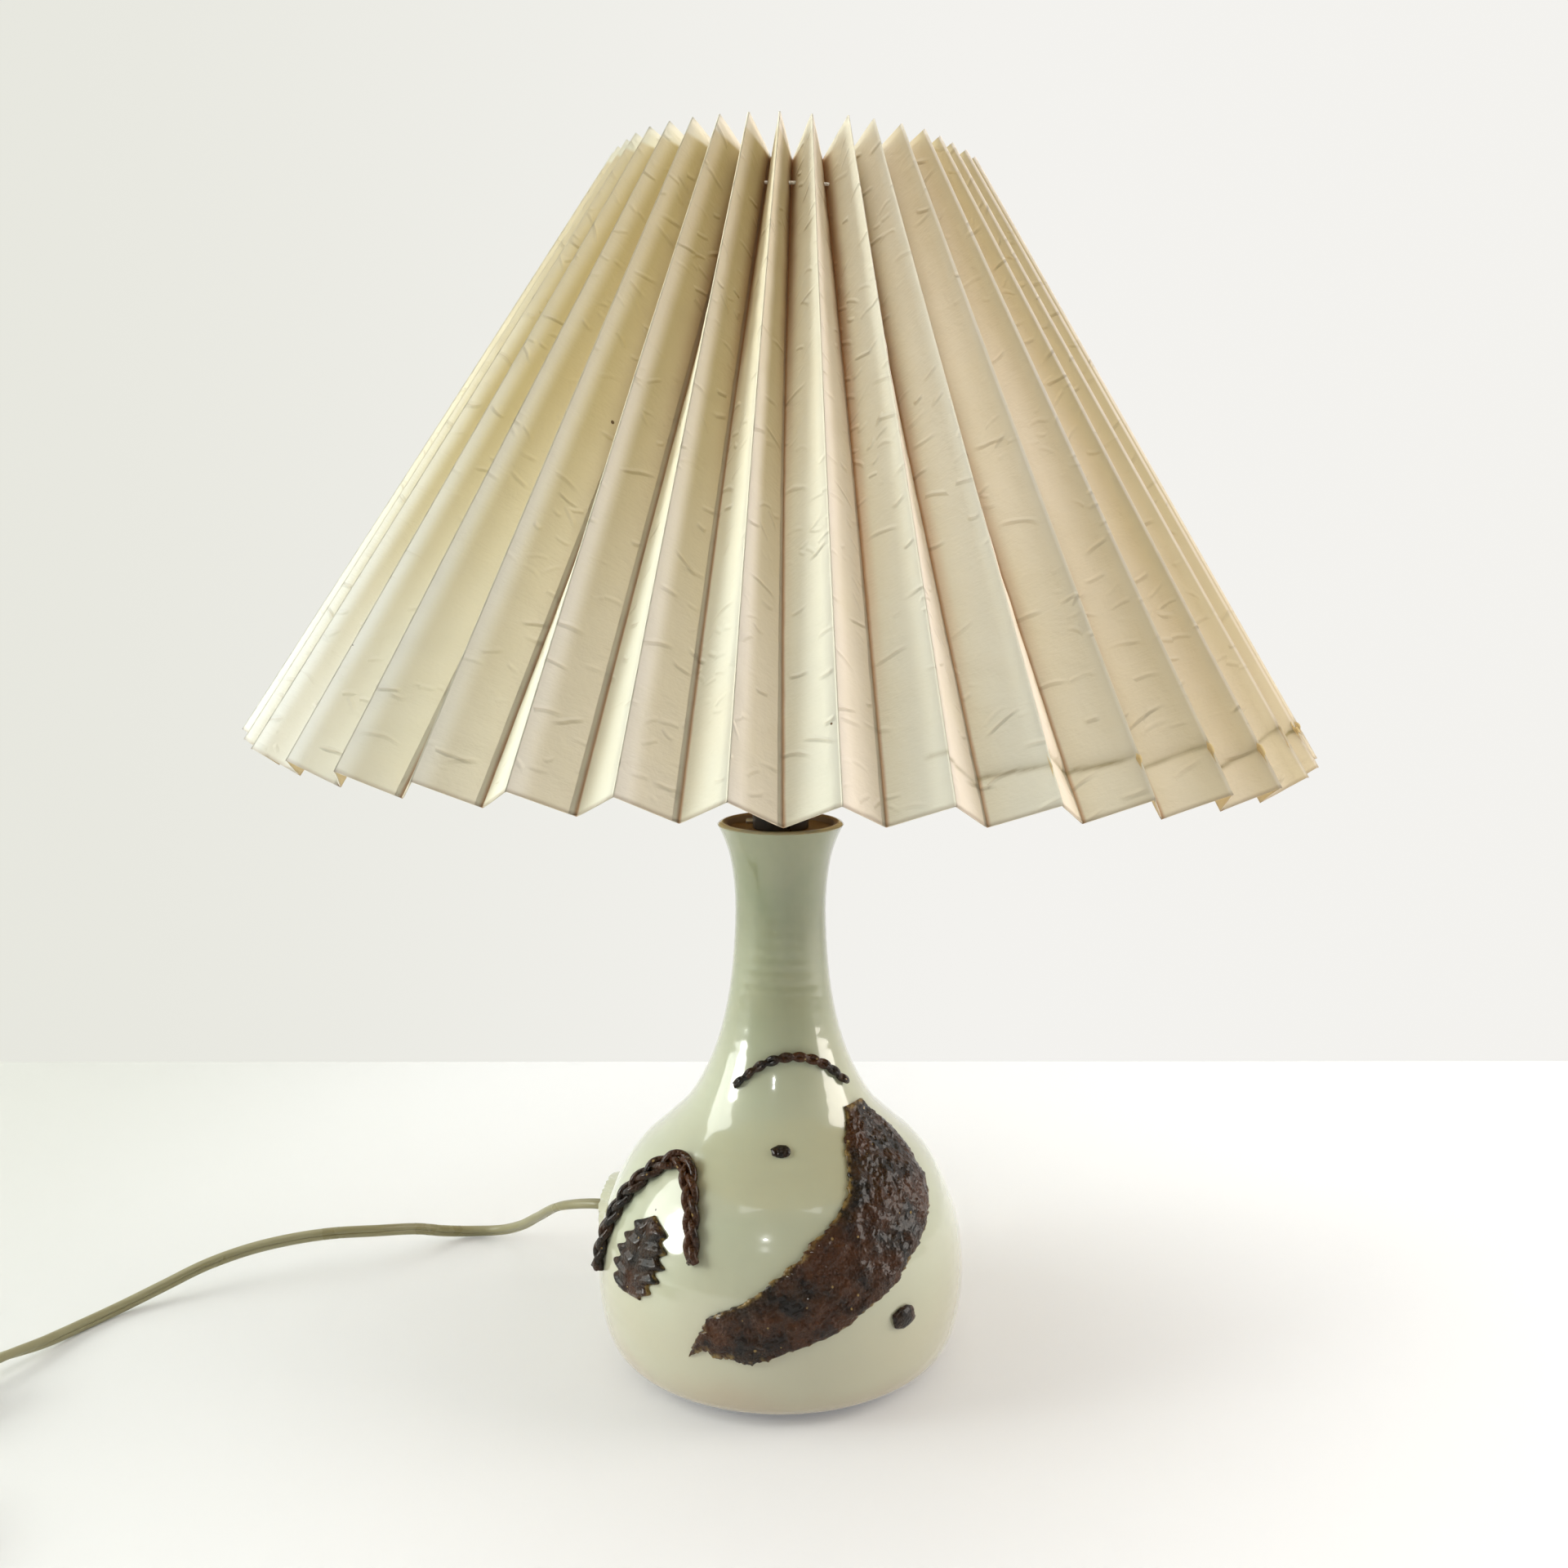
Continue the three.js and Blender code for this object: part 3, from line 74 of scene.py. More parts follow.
class Tree:
    """Builds the nodes of a material, a group or the sky. Inputs are values or the sockets that feed them."""

    def __init__(self, tree, shader=None):
        self.tree, self.shader = tree, shader

    def feed(self, value, socket):
        if isinstance(value, bpy.types.NodeSocket):
            self.tree.links.new(value, socket)
        else:
            socket.default_value = value

    def add(self, kind, settings=None, **inputs):
        made = self.tree.nodes.new("ShaderNode" + kind)
        for name, value in (settings or {}).items():
            setattr(made, name, value)
        for name, value in inputs.items():
            self.feed(value, made.inputs[name.replace("_", " ")])
        return made

    def math(self, operation, *values, clamp=False):
        made = self.add("Math", {"operation": operation, "use_clamp": clamp})
        for value, socket in zip(values, made.inputs):
            self.feed(value, socket)
        return made.outputs[0]

    def vector(self, operation, *values):
        made = self.add("VectorMath", {"operation": operation})
        for value, socket in zip(values, made.inputs):
            self.feed(value, socket)
        return made.outputs[0]

    def times(self, *factors):
        product = factors[0]
        for factor in factors[1:]:
            product = self.math("MULTIPLY", product, factor)
        return product

    def other(self, share):
        return self.math("SUBTRACT", 1, share)

    def mix(self, share, first, second):
        """A colour between two: the first at a share of 0, the second at 1."""
        made = self.add("Mix", {"data_type": "RGBA"})
        for value, place in ((share, 0), (first, 6), (second, 7)):
            self.feed(value, made.inputs[place])
        return made.outputs[2]

    def rise(self, value, low, high):
        """0 below low, 1 above high, and a smooth rise between them."""
        settings = {"interpolation_type": "SMOOTHSTEP"}
        return self.add("MapRange", settings, Value=value, From_Min=low, From_Max=high).outputs[0]

    def noise(self, place, scale, detail=2.0, **inputs):
        return self.add("TexNoise", Vector=place, Scale=scale, Detail=detail, **inputs).outputs[0]

    def place(self):
        return self.add("TexCoord").outputs["Object"]

    def axes(self, vector):
        return self.add("SeparateXYZ", Vector=vector).outputs

    def use(self, group, **inputs):
        """The outputs of a node group that stands in this tree."""
        made = self.add("Group")
        made.node_tree = group.tree
        for name, value in inputs.items():
            self.feed(value, made.inputs[name.replace("_", " ")])
        return made.outputs

    def dress(self, colour, height=None, strength=0.0, distance=0.0, **inputs):
        """Feeds the shader: its colour, a bump from a height, and other inputs by their names."""
        if height is not None:
            bump = self.add("Bump", Height=height, Strength=strength, Distance=distance)
            inputs["Normal"] = bump.outputs[0]
        for name, value in {"Base_Color": colour, **inputs}.items():
            self.feed(value, self.shader.inputs[name.replace("_", " ")])

    def mix_shader(self, share, kind, **inputs):
        """Mixes another shader in before the material's output."""
        second, mixed = self.add(kind, **inputs), self.add("MixShader", Fac=share)
        self.feed(self.shader.outputs[0], mixed.inputs[1])
        self.feed(second.outputs[0], mixed.inputs[2])
        self.feed(mixed.outputs[0], self.tree.nodes["Material Output"].inputs[0])

    def seen_as_backdrop(self):
        """1 for what the camera, a reflection or a refraction sees, 0 for light that reaches the lamp."""
        rays = self.add("LightPath").outputs
        seen = self.math("MAXIMUM", rays["Is Camera Ray"], rays["Is Glossy Ray"])
        return self.math("MAXIMUM", seen, rays["Is Transmission Ray"])


def new_material(name, **values):
    """A material with its shader's plain values set, and the tree that its nodes go into."""
    material = bpy.data.materials.new(name)
    material.use_nodes = True
    tree = Tree(material.node_tree, material.node_tree.nodes["Principled BSDF"])
    for socket, value in values.items():
        tree.shader.inputs[socket.replace("_", " ")].default_value = value
    return material, tree


def stage_sheet(name, corners, colour, shaded_left, shown_right, reach, glow, lit=None):
    """A sheet of the backdrop. To the camera it glows a little, a painted light, and is painted darker towards
    the left as shade.
    """
    material, tree = new_material(name, Roughness=0.7)
    shown = tree.mix(tree.rise(tree.axes(tree.place())[0], *reach), shaded_left, shown_right)
    seen = tree.seen_as_backdrop()
    base = tree.mix(seen, colour, lit or shown)
    tree.dress(base, Emission_Color=shown, Emission_Strength=tree.times(seen, glow))
    mesh = bpy.data.meshes.new(name)
    mesh.from_pydata(corners, [], [range(len(corners))])
    mesh.materials.append(material)
    sheet = bpy.data.objects.new(name, mesh)
    scene.collection.objects.link(sheet)
    return tree


TABLE_REACH = 3
table_sides, wall_sides = ((-1, -1), (1, -1), (1, 1), (-1, 1)), ((-1, 0), (1, 0), (1, 1), (-1, 1))
table_corners = [(x * TABLE_REACH, y * TABLE_REACH, 0) for x, y in table_sides]
# The table to the camera: painted shade darkening it towards the left, and a glow, a painted light that softens
# the shadows on it.
stage_sheet("table", table_corners, TABLE_COLOUR, TABLE_LEFT_SHADED, TABLE_RIGHT, (-0.5, 0.0), 0.25)
wall_corners = [(x * TABLE_REACH, WALL_DISTANCE, z * TABLE_REACH) for x, z in wall_sides]
# The wall to the camera: a glowing backdrop with painted shade darkening it towards the left.
wall = stage_sheet("wall", wall_corners, WALL_COLOUR, WALL_LEFT_SHADED, WALL_RIGHT, (-0.55, 0.2), 1, BLACK)
wall.shader.inputs["Specular IOR Level"].default_value = 0
wall.mix_shader(wall.add("NewGeometry").outputs["Backfacing"], "BsdfTransparent")

SKY_COLOUR = (1, 0.99, 0.965, 1)
SKY_STRENGTH = 0.55
BACKDROP_STRENGTH = 0.95
ROOM_DARKNESS = 0.85
world = bpy.data.worlds.new("daylight")
world.use_nodes = True
scene.world = world
sky = Tree(world.node_tree, world.node_tree.nodes["Background"])
backdrop_more = sky.times(sky.seen_as_backdrop(), BACKDROP_STRENGTH - SKY_STRENGTH)
sky_light = sky.math("ADD", backdrop_more, SKY_STRENGTH)
sky_axes = sky.axes(sky.add("TexCoord").outputs["Generated"])
towards_room = sky.math("MAXIMUM", sky.times(sky_axes[1], -1), sky.times(sky_axes[2], 0.7))
sky_light = sky.times(sky_light, sky.other(sky.times(sky.rise(towards_room, 0.05, 0.75), ROOM_DARKNESS)))
plain_backdrop = sky.times(sky.add("LightPath").outputs["Is Camera Ray"], BACKDROP_STRENGTH)
sky.feed(SKY_COLOUR, sky.shader.inputs["Color"])
sky.feed(sky.math("MAXIMUM", sky_light, plain_backdrop), sky.shader.inputs["Strength"])


def add_light(name, place, size, power, colour=(1, 1, 1), shape="SQUARE"):
    """An area light that faces the middle of the lamp."""
    light = bpy.data.lights.new(name, "AREA")
    light.shape, light.size = shape, size
    light.energy, light.color = power, colour
    lamp = bpy.data.objects.new(name, light)
    lamp.location = place
    aim = Vector((0, 0, 0.2)) - lamp.location
    lamp.rotation_euler = aim.to_track_quat("-Z", "Y").to_euler()
    scene.collection.objects.link(lamp)


add_light("ceiling_light", (0, -0.35, 1.5), 1.4, 12.5)
add_light("left_window", (-1.6, 0.05, 0.8), 1.1, 15, (0.96, 1, 0.95))
add_light("round_window", (-1.33, -0.43, 0.51), 0.5, 7, (0.97, 1, 0.97), "DISK")
add_light("room_lamp", (-0.28, -1.5, 0.86), 0.06, 1.4, (1, 1, 1), "DISK")
add_light("right_window", (1.5, 0.0, 0.7), 1.0, 16, (1, 0.94, 0.87))


# The ceramic body
# A bottle form thrown in stoneware, 22 cm high, with a turned foot ring, a floor with an access hole and a
# closed neck with a hole for the holder's tube. A raised pad at the rear left takes the cord. Celadon glaze.
MM = 0.001
UP = Vector((0, 0, 1))
BODY_BASE = 2.3 * MM
BODY_HEIGHT = 218.5 * MM
BELLY_RADIUS = 75.3 * MM
BODY_WALL = 5 * MM
BODY_SEGMENTS = 240
BODY_SHARES = [
    (0, 0.78),
    (0.0055, 0.835),
    (0.026, 0.922),
    (0.054, 0.962),
    (0.09, 0.986),
    (0.136, 1),
    (0.191, 0.997),
    (0.246, 0.972),
    (0.301, 0.918),
    (0.356, 0.838),
    (0.392, 0.757),
    (0.429, 0.64),
    (0.475, 0.508),
    (0.53, 0.412),
    (0.594, 0.338),
    (0.676, 0.281),
    (0.7675, 0.25),
    (0.868, 0.243),
    (0.941, 0.27),
    (0.978, 0.305),
    (1, 0.335),
]
PAD_ANGLE = math.radians(161)
PAD_HEIGHT = 48.5 * MM
PAD_RADIUS = 15.5 * MM
PAD_RISE = 2.6 * MM


def smooth_route(knots, spacing):
    """Points along a centripetal spline through the knots, about one spacing apart."""
    knots = [Vector(knot) for knot in knots]
    ends = [2 * knots[0] - knots[1], *knots, 2 * knots[-1] - knots[-2]]
    route = []
    for p0, p1, p2, p3 in zip(ends, ends[1:], ends[2:], ends[3:]):
        times = [0.0]
        for a, b in ((p0, p1), (p1, p2), (p2, p3)):
            times.append(times[-1] + max((b - a).length, 1e-9) ** 0.5)
        t0, t1, t2, t3 = times
        count = max(1, round((p2 - p1).length / spacing))
        for i in range(count):
            t = t1 + (t2 - t1) * i / count
            a1 = p0.lerp(p1, (t - t0) / (t1 - t0))
            a2 = p1.lerp(p2, (t - t1) / (t2 - t1))
            a3 = p2.lerp(p3, (t - t2) / (t3 - t2))
            b1 = a1.lerp(a2, (t - t0) / (t2 - t0))
            b2 = a2.lerp(a3, (t - t1) / (t3 - t1))
            route.append(b1.lerp(b2, (t - t1) / (t2 - t1)))
    return [*route, knots[-1]]


def turn(profile, segments):
    """The points and faces of a turned form. A profile off the axis closes on itself."""
    points, rings, faces = [], [], []
    for radius, height in profile:
        start = len(points)
        if radius < 1e-6:
            points.append(Vector((0, 0, height)))
        else:
            for i in range(segments):
                angle = 2 * math.pi * i / segments
                points.append(Vector((radius * math.cos(angle), radius * math.sin(angle), height)))
        rings.append(range(start, len(points)))
    pairs = list(zip(rings, rings[1:]))
    if profile[0][0] > 1e-6:
        pairs.append((rings[-1], rings[0]))
    for low, high in pairs:
        for i in range(segments):
            j = (i + 1) % segments
            corners = [low[i % len(low)], low[j % len(low)], high[j % len(high)], high[i % len(high)]]
            faces.append(list(dict.fromkeys(corners)))
    return points, faces


def make_piece(name, form, material, body, slot, stands_for=(), crease=40):
    """A closed piece from points and faces, smooth but for edges sharper than the crease angle."""
    points, faces = form
    mesh = bpy.data.meshes.new(name)
    mesh.from_pydata([tuple(point) for point in points], [], faces)
    shaped = bmesh.new()
    shaped.from_mesh(mesh)
    bmesh.ops.recalc_face_normals(shaped, faces=shaped.faces)
    shaped.to_mesh(mesh)
    shaped.free()
    mesh.shade_smooth()
    mesh.set_sharp_from_angle(angle=math.radians(crease))
    mesh.materials.append(material)
    piece = bpy.data.objects.new(name, mesh)
    scene.collection.objects.link(piece)
    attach(piece, body)
    if stands_for:
        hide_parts(*stands_for)
    return piece


body_knots = [(reach * BELLY_RADIUS, 0, BODY_BASE + rise * BODY_HEIGHT) for rise, reach in BODY_SHARES]
body_line = [(point.x, point.z) for point in smooth_route(body_knots, 1.2 * MM)]


def body_at(height):
    """The body's radius and outward slope at a height."""
    for (r0, z0), (r1, z1) in zip(body_line, body_line[1:]):
        if z1 >= height:
            break
    share = min(max((height - z0) / (z1 - z0), 0), 1)
    along = Vector((r1 - r0, z1 - z0)).normalized()
    return r0 + share * (r1 - r0), Vector((along.y, -along.x))


def over_body(degrees, height, lift):
    """A place over the body: degrees to the right of the front, a height, and how far it stands off."""
    radius, slope = body_at(height)
    reach, angle = radius + slope.x * lift, math.radians(degrees)
    return Vector((reach * math.sin(angle), -reach * math.cos(angle), height + slope.y * lift))


pad_out = Vector((math.cos(PAD_ANGLE), math.sin(PAD_ANGLE), 0))
PAD_FACE = body_at(PAD_HEIGHT)[0] + PAD_RISE


def smooth_share(value):
    value = min(max(value, 0), 1)
    return value * value * (3 - 2 * value)


def body_form():
    """The outer wall with its throwing marks and the pad, then the lip, the inside, the floor and the foot."""
    lip_outer, lip_height = body_line[-1]
    foot_inner = body_line[0][0] - 8.5 * MM
    web_top, web_under = lip_height - 2 * MM, lip_height - 8 * MM
    floor_top, floor_under = BODY_BASE + 9 * MM, BODY_BASE + 3 * MM
    profile = list(body_line)
    for share in (0.08, 0.2, 0.4, 0.6, 0.8, 0.94):
        swell = math.sin(math.pi * share) ** 0.6
        profile.append((lip_outer - 4 * MM * share, lip_height + 0.9 * MM * swell))
    profile += [(lip_outer - 4 * MM, lip_height - 0.5 * MM), (lip_outer - 4.3 * MM, web_top + 0.3 * MM)]
    profile += [(lip_outer - 5 * MM, web_top), (5.3 * MM, web_top), (5.3 * MM, web_under)]
    inside = [(r - BODY_WALL, z) for r, z in body_line if floor_top + 4 * MM < z < web_under - 2 * MM]
    profile += [(inside[-1][0] - 1 * MM, web_under), *reversed(inside[::4])]
    profile += [(inside[0][0] - 4 * MM, floor_top), (24 * MM, floor_top), (24 * MM, floor_under)]
    profile += [(foot_inner, floor_under), (foot_inner, BODY_BASE)]
    points, faces = turn(profile, BODY_SEGMENTS)
    outer = len(body_line) * BODY_SEGMENTS
    for i, point in enumerate(points[:outer]):
        height = point.z
        waist = smooth_share((height - 0.012) / 0.03) * smooth_share((0.215 - height) / 0.03)
        mark = 0.025 * MM * math.sin(height / (0.85 * MM) + 2.5 * noise.noise(point * 18))
        mark += 0.3 * MM * noise.noise(point * 14)
        outward = Vector((point.x, point.y, 0)).normalized()
        point += outward * mark * waist
        aside = point.cross(pad_out).z
        away = math.hypot(aside, height - PAD_HEIGHT)
        if away < PAD_RADIUS + 4 * MM and point.dot(pad_out) > 0:
            share = smooth_share((PAD_RADIUS + 0.9 * MM - away) / (2.2 * MM))
            point += pad_out * share * (PAD_FACE - point.dot(pad_out))
    return points, faces


def drill(piece, start, direction, radius, length):
    """Cuts a round hole through a piece with a plain drill that is then thrown away."""
    points, faces = turn([(0, 0), (radius, 0), (radius, length), (0, length)], 32)
    aim = direction.to_track_quat("Z", "Y").to_matrix() @ Matrix.Rotation(math.pi / 32, 3, "Z")
    mesh = bpy.data.meshes.new("drill")
    mesh.from_pydata([tuple(start + aim @ point) for point in points], [], faces)
    tool = bpy.data.objects.new("drill", mesh)
    scene.collection.objects.link(tool)
    cut_away(piece, tool)


def cut_away(piece, tool):
    cut = piece.modifiers.new("cut", "BOOLEAN")
    cut.operation, cut.solver, cut.object = "DIFFERENCE", "EXACT", tool
    held = bpy.context.evaluated_depsgraph_get()
    mesh = bpy.data.meshes.new_from_object(piece.evaluated_get(held))
    piece.modifiers.clear()
    piece.data = mesh
    bpy.data.objects.remove(tool)


def new_group(name, inputs, outputs):
    """An empty shader node group with named inputs and outputs, and the sockets at its two ends."""
    group = bpy.data.node_groups.new(name, "ShaderNodeTree")
    for label, value in inputs.items():
        kind = "Float" if isinstance(value, (int, float)) else "Color" if len(value) == 4 else "Vector"
        socket = group.interface.new_socket(name=label, in_out="INPUT", socket_type="NodeSocket" + kind)
        socket.default_value = value
    for label, kind in outputs.items():
        group.interface.new_socket(name=label, in_out="OUTPUT", socket_type="NodeSocket" + kind)
    given, gives = group.nodes.new("NodeGroupInput").outputs, group.nodes.new("NodeGroupOutput").inputs
    return Tree(group), given, gives


WHITE = (1, 1, 1, 1)
tone_inputs = {"First": WHITE, "Second": WHITE, "Scale": 20, "Contrast": 1}
uneven_tone, given, gives = new_group("uneven tone", tone_inputs, {"Color": "Color", "Mask": "Float"})
tone_noise = uneven_tone.noise(uneven_tone.place(), given["Scale"], 4, Roughness=0.6)
tone_more = uneven_tone.times(uneven_tone.math("SUBTRACT", tone_noise, 0.5), given["Contrast"])
tone_mask = uneven_tone.math("MULTIPLY_ADD", tone_more, 3, 0.5, clamp=True)
uneven_tone.feed(tone_mask, gives["Mask"])
uneven_tone.feed(uneven_tone.mix(tone_mask, given["First"], given["Second"]), gives["Color"])

speck_inputs = {"Color": WHITE, "Speck": WHITE, "Scale": 90, "Size": 0.1, "Share": 0.2}
specks, given, gives = new_group("specks", speck_inputs, {"Color": "Color", "Mask": "Float"})
speck_cells = specks.add("TexVoronoi", Vector=specks.place(), Scale=given["Scale"]).outputs
speck_pick = specks.add("SeparateColor", Color=speck_cells["Color"]).outputs
speck_reach = specks.times(speck_pick[1], given["Size"])
speck_near = specks.math("LESS_THAN", speck_cells["Distance"], speck_reach)
speck_mask = specks.times(specks.math("LESS_THAN", speck_pick[0], given["Share"]), speck_near)
specks.feed(speck_mask, gives["Mask"])
specks.feed(specks.mix(speck_mask, given["Color"], given["Speck"]), gives["Color"])

GLAZE_FOOT = (0.52, 0.44, 0.31, 1)
GLAZE_LOW = (0.54, 0.525, 0.38, 1)
GLAZE_BELLY = (0.55, 0.595, 0.435, 1)
NECK_GLAZE_AND_SHADE = (0.24, 0.28, 0.16, 1)
GLAZE_RIM = (0.33, 0.20, 0.09, 1)
LIP_HIGHLIGHT = (0.66, 0.62, 0.46, 1)
LIP_RADIUS = body_line[-1][0]
GLAZE_PALE = (0.56, 0.50, 0.34, 1)
GLAZE_SPECK = (0.08, 0.05, 0.025, 1)
FIRED_CLAY = (0.16, 0.11, 0.07, 1)

glaze, tree = new_material("celadon glaze", Coat_Roughness=0.03, Coat_IOR=1.5)
place = tree.place()
height = tree.axes(place)[2]
cloud_shift = tree.times(tree.math("SUBTRACT", tree.noise(place, 16, 3), 0.5), 0.05)
level = tree.math("ADD", height, cloud_shift)
colour = tree.mix(tree.rise(level, 0.004, 0.024), GLAZE_FOOT, GLAZE_LOW)
colour = tree.mix(tree.rise(level, 0.03, 0.08), colour, GLAZE_BELLY)
# Darker and greener towards the neck: partly the glaze's own tone, partly painted shade from the lampshade
# above.
colour = tree.mix(tree.rise(level, 0.105, 0.19), colour, NECK_GLAZE_AND_SHADE)
pale = tree.use(uneven_tone, First=colour, Second=GLAZE_PALE, Scale=22, Contrast=0.9)
colour = tree.mix(0.25, colour, pale["Color"])
colour = tree.use(specks, Color=colour, Speck=GLAZE_SPECK, Scale=62, Size=0.09, Share=0.11)["Color"]
# Paler where the lip faces up near the rim: a painted highlight.
faces_up = tree.axes(tree.add("NewGeometry").outputs["Normal"])[2]
lip_lit_share = tree.times(tree.rise(faces_up, 0.0, 0.6), tree.rise(height, 0.2165, 0.2195))
colour = tree.mix(tree.times(lip_lit_share, 0.6), colour, LIP_HIGHLIGHT)
across = tree.vector("MULTIPLY", place, (1, 1, 0))
from_axis = tree.add("VectorMath", {"operation": "LENGTH"}, Vector=across).outputs["Value"]
inside_lip = tree.other(tree.rise(from_axis, LIP_RADIUS - 2.6 * MM, LIP_RADIUS - 1.8 * MM))
bare_top = tree.times(inside_lip, tree.rise(height, 0.217, 0.218))
colour = tree.mix(bare_top, colour, GLAZE_RIM)
bare_foot = tree.other(tree.rise(height, 0.0024, 0.0034))
colour = tree.mix(bare_foot, colour, FIRED_CLAY)
bare = tree.math("MAXIMUM", bare_foot, bare_top)
waves = {"Scale": 95, "Distortion": 1.4, "Detail": 1, "Detail_Scale": 0.6}
rings = tree.add("TexWave", {"bands_direction": "Z"}, Vector=place, **waves).outputs[1]
ring_height = tree.times(rings, tree.rise(tree.noise(place, 22), 0.5, 0.68))
surface = tree.math("ADD", ring_height, tree.times(tree.noise(place, 240, 1), 0.25))
bare_rough = tree.math("MULTIPLY_ADD", bare, 0.5, 0.16)
tree.dress(colour, surface, 0.08, 0.3 * MM, Coat_Weight=tree.other(bare), Roughness=bare_rough)

ceramic_body = make_piece("glazed_body", body_form(), glaze, "foot", "body_glaze", ["ceramic_body"])
drill(ceramic_body, pad_out * (PAD_FACE - 12 * MM) + UP * PAD_HEIGHT, pad_out, 4.5 * MM, 16 * MM)


# The felt ring
# A die-cut ring of brown felt, 2 mm thick, glued under the foot ring so that the lamp doesn't scratch.
FELT_DARK, FELT_PALE = (0.06, 0.045, 0.035, 1), (0.14, 0.10, 0.08, 1)
felt, tree = new_material("brown felt", Roughness=0.95)
fuzz = tree.use(uneven_tone, First=FELT_DARK, Second=FELT_PALE, Scale=420, Contrast=1.5)
tree.dress(fuzz["Color"], fuzz["Mask"], 0.6, 0.4 * MM)


def soften(outline, size, steps=3):
    """Rounds every corner of a closed outline by up to a size."""
    outline = [Vector(corner) for corner in outline]
    soft = []
    for i, corner in enumerate(outline):
        before, after = outline[i - 1] - corner, outline[(i + 1) % len(outline)] - corner
        start = corner + before.normalized() * min(size, 0.45 * before.length)
        end = corner + after.normalized() * min(size, 0.45 * after.length)
        for k in range(steps + 1):
            t = k / steps
            soft.append(start * (1 - t) ** 2 + corner * 2 * t * (1 - t) + end * t**2)
    return soft


def turn_mm(line, segments, base=0.0, soft=0.0):
    """A turned form from (radius, height) in millimetres over a base, with its corners rounded."""
    outline = [(radius * MM, base + height * MM) for radius, height in line]
    return turn(soften(outline, soft * MM) if soft else outline, segments)


FELT_THICKNESS = 2
foot_edge = body_line[0][0] / MM
felt_outer, felt_inner = foot_edge - 1.7, foot_edge - 7.65
felt_edge = [(felt_inner, 0), (felt_outer, 0), (felt_outer, FELT_THICKNESS), (felt_inner, FELT_THICKNESS)]
make_piece("felt_pad", turn_mm(felt_edge, 120, soft=0.5), felt, "foot", "felt", ["felt_ring"])


# The relief
# Clay pressed and plaited by hand onto the front of the body and glazed dark: a ragged slanting sweep of crust,
# an arch of plaited rope over a lobed leaf, a thin garland and two pellets. It breaks to rust and ochre.
CRUST_TOP = BODY_BASE + 0.5 * BODY_HEIGHT
CRUST_FOOT = BODY_BASE + 0.135 * BODY_HEIGHT
CRUST_LEFT = [(0, 46), (0.16, 34), (0.34, 23), (0.5, 8), (0.66, -5), (0.82, -21), (1, -27)]
CRUST_RIGHT = [(0, 64), (0.16, 75), (0.34, 68), (0.5, 57), (0.66, 40), (0.82, 23), (1, -6)]

NEAR_BLACK, DARK_BROWN = (0.007, 0.004, 0.0015, 1), (0.034, 0.016, 0.005, 1)
RUST = (0.11, 0.032, 0.006, 1)
OCHRE_EDGE, OCHRE_SPECK = (0.26, 0.17, 0.05, 1), (0.30, 0.20, 0.07, 1)
coat = {"Specular_IOR_Level": 0.15, "Coat_Weight": 0.38, "Coat_Roughness": 0.03, "Coat_IOR": 1.5}
relief_glaze, tree = new_material("dark relief glaze", **coat)
place = tree.place()
near_edge = tree.add("Attribute", {"attribute_name": "edge"}).outputs["Fac"]
dark = tree.use(uneven_tone, First=NEAR_BLACK, Second=DARK_BROWN, Scale=150, Contrast=1.6)
rust = tree.use(uneven_tone, First=BLACK, Second=WHITE, Scale=38, Contrast=2.2)
colour = tree.mix(tree.times(rust["Mask"], 0.45), dark["Color"], RUST)
thin_edge = tree.times(tree.rise(near_edge, 0.35, 0.95), tree.rise(tree.noise(place, 260), 0.4, 0.62))
colour = tree.mix(thin_edge, colour, OCHRE_EDGE)
colour = tree.use(specks, Color=colour, Speck=OCHRE_SPECK, Scale=420, Size=0.3, Share=0.10)["Color"]
grit = tree.add("TexVoronoi", Vector=place, Scale=850).outputs["Distance"]
surface = tree.math("ADD", tree.noise(place, 520, 4, Roughness=0.7), tree.times(grit, 0.7))
glossy = tree.math("MULTIPLY_ADD", dark["Mask"], 0.25, 0.16)
tree.dress(colour, surface, 1.0, 0.9 * MM, Roughness=glossy)


def between(table, share):
    """Reads a table of (share, value), with soft corners where its lines meet."""
    for (low, start), (high, end) in zip(table, table[1:]):
        if share <= high:
            break
    share = (share - low) / (high - low)
    return start + (end - start) * (0.35 * smooth_share(share) + 0.65 * share)


def patch_form(rows, columns, place_at):
    """A closed patch on the body from a grid of places: place_at(down, across, layer) with layer 0 below."""
    points, faces = [], []
    for layer in (0, 1):
        for row in range(rows + 1):
            for column in range(columns + 1):
                points.append(place_at(row / rows, column / columns, layer))
    wide = columns + 1
    top = (rows + 1) * wide
    for row in range(rows):
        for column in range(columns):
            a = row * wide + column
            b, c, d = a + 1, a + wide + 1, a + wide
            faces += [(a, b, c, d), (top + a, top + d, top + c, top + b)]
    rim = [*range(columns), *(row * wide + columns for row in range(rows))]
    rim += [rows * wide + column for column in range(columns, 0, -1)]
    rim += [row * wide for row in range(rows, 0, -1)]
    for a, b in zip(rim, rim[1:] + rim[:1]):
        faces.append((a, top + a, top + b, b))
    return points, faces


def edge_distance(down, across):
    return min(across, 1 - across, down * 1.5, (1 - down) * 1.3)


def waves(*terms):
    """A sum of smooth noises: how strong each is, where along its line, and which line."""
    return sum(reach * noise.noise(Vector((place, line, 0))) for reach, place, line in terms)


